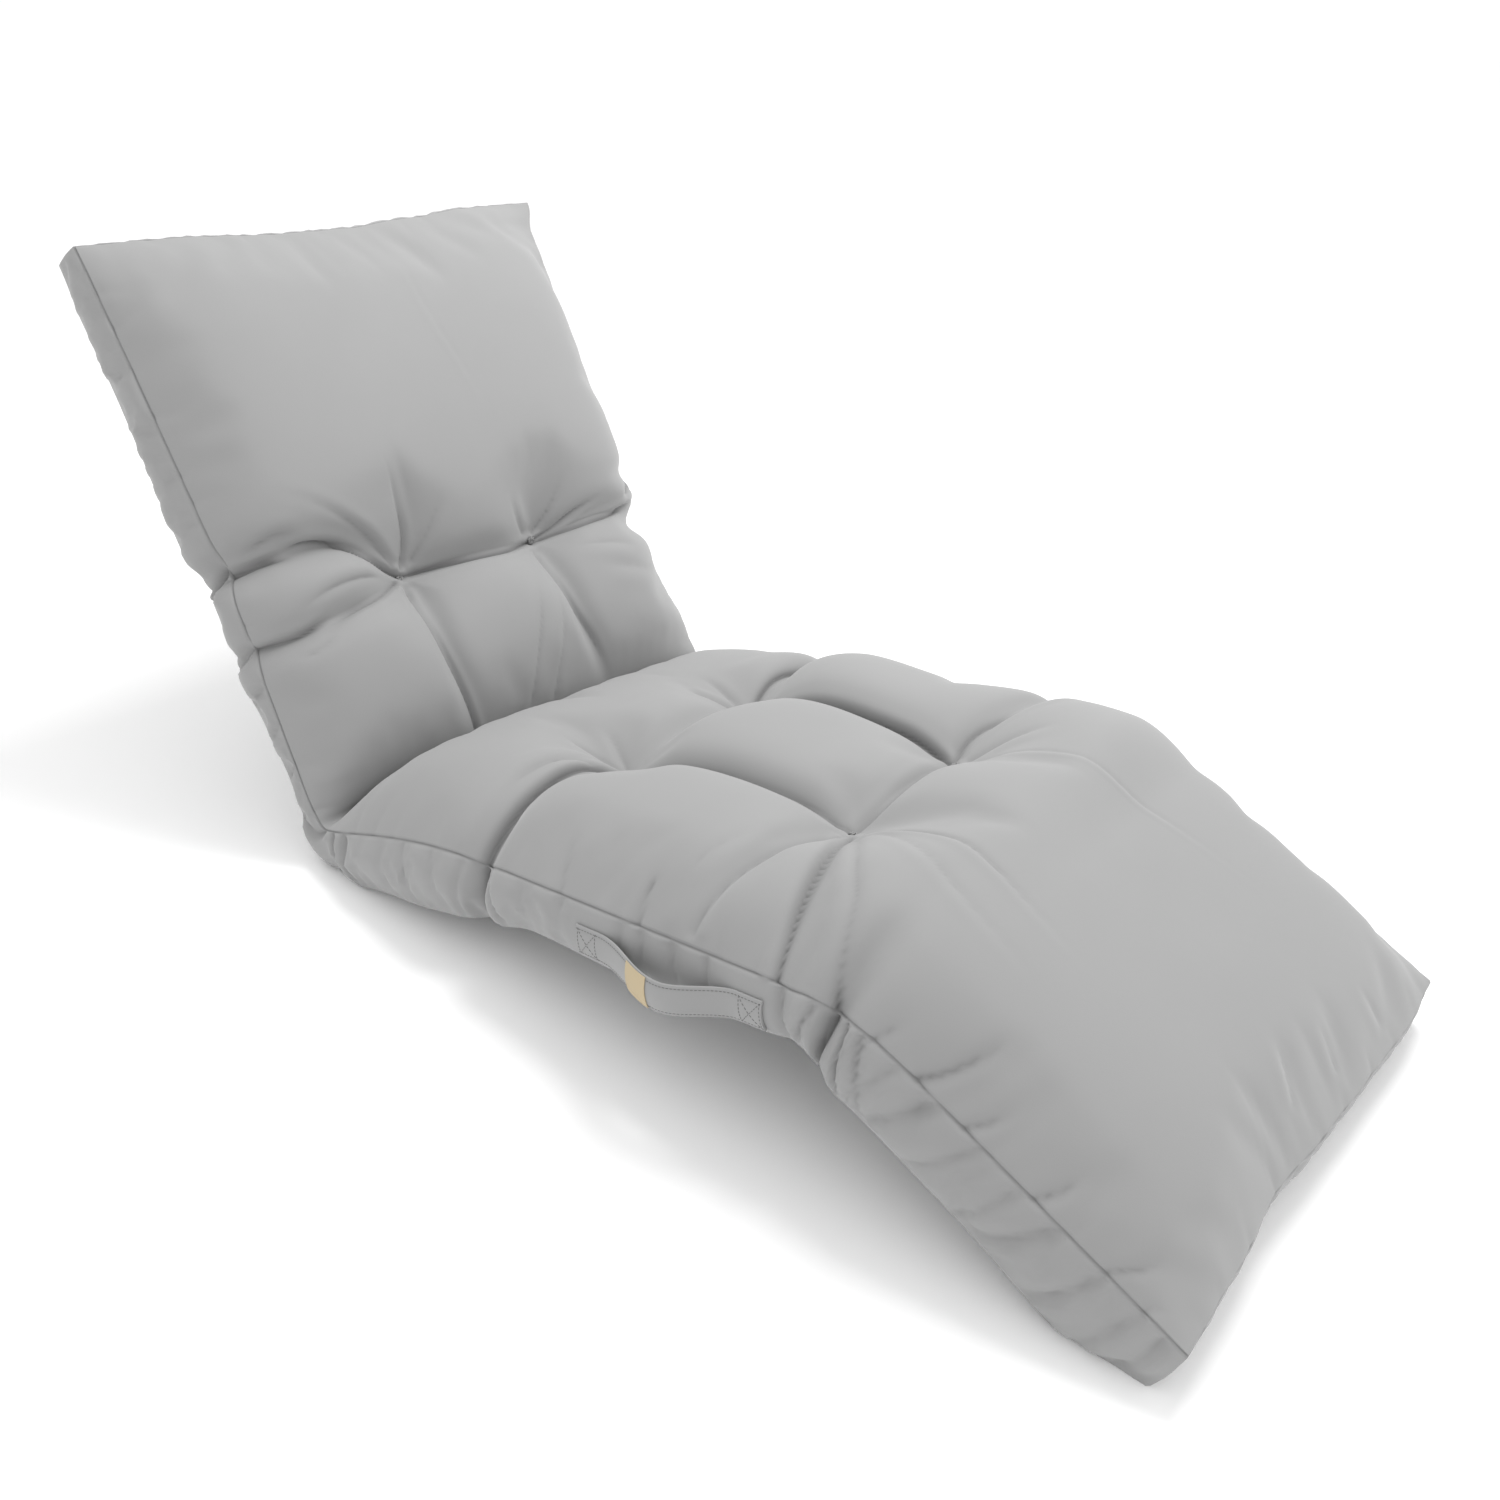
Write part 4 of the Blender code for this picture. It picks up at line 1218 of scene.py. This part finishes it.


# topstitching is painted darker than the cloth, as painted shade where it sinks into the strap; the knots
# match the cloth
paintedShadeThreadMaterial = makeThreadMaterial("greyThreadWithPaintedShade", "666666")
knotMaterial = makeThreadMaterial("paleGreyPolyesterThread", "8a8a8a")


def makeStitchNodes():
    # lays one stitch per pitch along every line that it is given
    tree = bpy.data.node_groups.new("runningStitch", "GeometryNodeTree")
    tree.interface.new_socket("Geometry", in_out="INPUT", socket_type="NodeSocketGeometry")
    for name in ("Pitch", "Stitch Length", "Stitch Thickness"):
        tree.interface.new_socket(name, in_out="INPUT", socket_type="NodeSocketFloat")
    tree.interface.new_socket("Material", in_out="INPUT", socket_type="NodeSocketMaterial")
    tree.interface.new_socket("Geometry", in_out="OUTPUT", socket_type="NodeSocketGeometry")
    given = addNode(tree, "NodeGroupInput")
    curve = addNode(tree, "GeometryNodeMeshToCurve", links={"Mesh": given.outputs["Geometry"]})
    places = addNode(
        tree, "GeometryNodeCurveToPoints", {"mode": "LENGTH"},
        {"Curve": curve.outputs[0], "Length": given.outputs["Pitch"]},
    )
    ball = addNode(tree, "GeometryNodeMeshUVSphere", {"Segments": 8, "Rings": 6, "Radius": 0.5})
    size = addNode(tree, "ShaderNodeCombineXYZ", links={
        "X": given.outputs["Stitch Thickness"],
        "Y": given.outputs["Stitch Thickness"],
        "Z": given.outputs["Stitch Length"],
    })
    turn = addNode(
        tree, "FunctionNodeAlignRotationToVector", {"axis": "Z"}, {"Vector": places.outputs["Tangent"]}
    )
    laid = addNode(tree, "GeometryNodeInstanceOnPoints", links={
        "Points": places.outputs["Points"],
        "Instance": ball.outputs["Mesh"],
        "Rotation": turn.outputs["Rotation"],
        "Scale": size.outputs["Vector"],
    })
    real = addNode(tree, "GeometryNodeRealizeInstances", links={"Geometry": laid.outputs["Instances"]})
    smooth = addNode(tree, "GeometryNodeSetShadeSmooth", links={0: real.outputs["Geometry"]})
    dressed = addNode(tree, "GeometryNodeSetMaterial", links={
        "Geometry": smooth.outputs[0],
        "Material": given.outputs["Material"],
    })
    addNode(tree, "NodeGroupOutput", links={"Geometry": dressed.outputs["Geometry"]})
    return tree


def makeStitches():
    v, t = strapValues, threadValues
    lift = v["thickness"] - v["stitchSink"] + t["stitchLift"]

    def line(startS, startAcross, endS, endAcross):
        count = max(4, int(math.hypot(endS - startS, endAcross - startAcross) / t["guideStep"]))
        share = np.linspace(0.0, 1.0, count + 1)
        s, across = startS + (endS - startS) * share, startAcross + (endAcross - startAcross) * share
        onRow = np.exp(-(((np.abs(across) - stitchRow) / v["sinkWidth"]) ** 2))
        return strapPoint(s, across, lift + v["stitchSink"] * (1.0 - onRow))

    lines = []
    for across in (-stitchRow, stitchRow):
        lines.append(line(v["start"] + t["rowIn"], across, v["end"] - t["rowIn"], across))
    for low, high in ((v["start"], v["start"] + v["sewn"]), (v["end"] - v["sewn"], v["end"])):
        low, high = low + t["boxIn"], high - t["boxIn"] / 2
        for at in (low, high):
            lines.append(line(at, -stitchRow, at, stitchRow))
        lines.append(line(low, -stitchRow, high, stitchRow))
        lines.append(line(low, stitchRow, high, -stitchRow))
    points, edges, base = [], [], 0
    for found in lines:
        points += found.tolist()
        edges += [(base + k, base + k + 1) for k in range(len(found) - 1)]
        base += len(found)
    mesh = bpy.data.meshes.new("stitchLines")
    mesh.from_pydata(points, edges, [])
    guide = bpy.data.objects.new("stitchLines", mesh)
    bpy.context.scene.collection.objects.link(guide)
    tree = makeStitchNodes()
    sewing = guide.modifiers.new("sewing", "NODES")
    sewing.node_group = tree
    inputs = {item.name: item.identifier for item in tree.interface.items_tree if item.in_out == "INPUT"}
    sewing[inputs["Pitch"]] = t["pitch"]
    sewing[inputs["Stitch Length"]] = t["stitchLength"]
    sewing[inputs["Stitch Thickness"]] = t["stitchThickness"]
    sewing[inputs["Material"]] = paintedShadeThreadMaterial
    shaped = guide.evaluated_get(bpy.context.evaluated_depsgraph_get())
    sewn = bpy.data.objects.new("strapStitches", bpy.data.meshes.new_from_object(shaped))
    bpy.data.objects.remove(guide)
    bpy.context.scene.collection.objects.link(sewn)
    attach(sewn, "root")
    return sewn


stitches = makeStitches()
print("strap stitches laid:", len(stitches.data.polygons), "faces")


def makeKnot(name, place, up, turnBy):
    # one strand wound into a flattened ball
    v = threadValues
    t = np.linspace(0.0, 2.0 * math.pi, v["strandSteps"], endpoint=False)
    radius = v["knotRing"] + v["knotTube"] * np.cos(v["knotLobes"] * t)
    angle = v["knotTurns"] * t + turnBy
    height = v["knotTube"] * np.sin(v["knotLobes"] * t)
    strand = np.stack([radius * np.cos(angle), radius * np.sin(angle), height], -1)
    run = np.roll(strand, -1, axis=0) - np.roll(strand, 1, axis=0)
    run /= np.linalg.norm(run, axis=1, keepdims=True)
    sideways = np.cross(run, np.array([0.0, 0.0, 1.0]))
    sideways /= np.linalg.norm(sideways, axis=1, keepdims=True)
    over = np.cross(sideways, run)
    turn = np.linspace(0.0, 2.0 * math.pi, v["strandSides"], endpoint=False)[None, :, None]
    ring = v["strandRadius"] * (np.cos(turn) * sideways[:, None] + np.sin(turn) * over[:, None])
    points = (strand[:, None] + ring).reshape(-1, 3)
    index = np.arange(len(points)).reshape(-1, v["strandSides"])
    after, ahead = np.roll(index, -1, axis=1), np.roll(index, -1, axis=0)
    faces = np.stack([index, after, np.roll(ahead, -1, axis=1), ahead], -1).reshape(-1, 4).tolist()
    upright = np.array(Vector(up).to_track_quat("Z", "Y").to_matrix())
    knot = meshFrom(name, points @ upright.T + place + v["knotLift"] * np.array(up), faces)
    knot.data.materials.append(knotMaterial)
    return knot


def makeKnots():
    up = gridNormals(coverSkin["top"])
    for (at, halfSpacing, _, _), row in zip(coverValues["tuftRows"], ("lumbar", "seat", "thigh")):
        for side, word in ((-1, "left"), (1, "right")):
            away = np.hypot(coverSkin["x"] - side * halfSpacing, coverSkin["s"] - at)
            line, column = np.unravel_index(away.argmin(), away.shape)
            around = up[line - 2 : line + 3, column - 2 : column + 3].reshape(-1, 3).mean(axis=0)
            pit = coverSkin["top"][line, column]
            knot = makeKnot(f"{row}Knot{word.title()}", pit, around, 1.7 * at + side)
            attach(knot, "root")
            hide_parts(f"tuft_knot_{row}_{word}")


makeKnots()
print("knots tied")
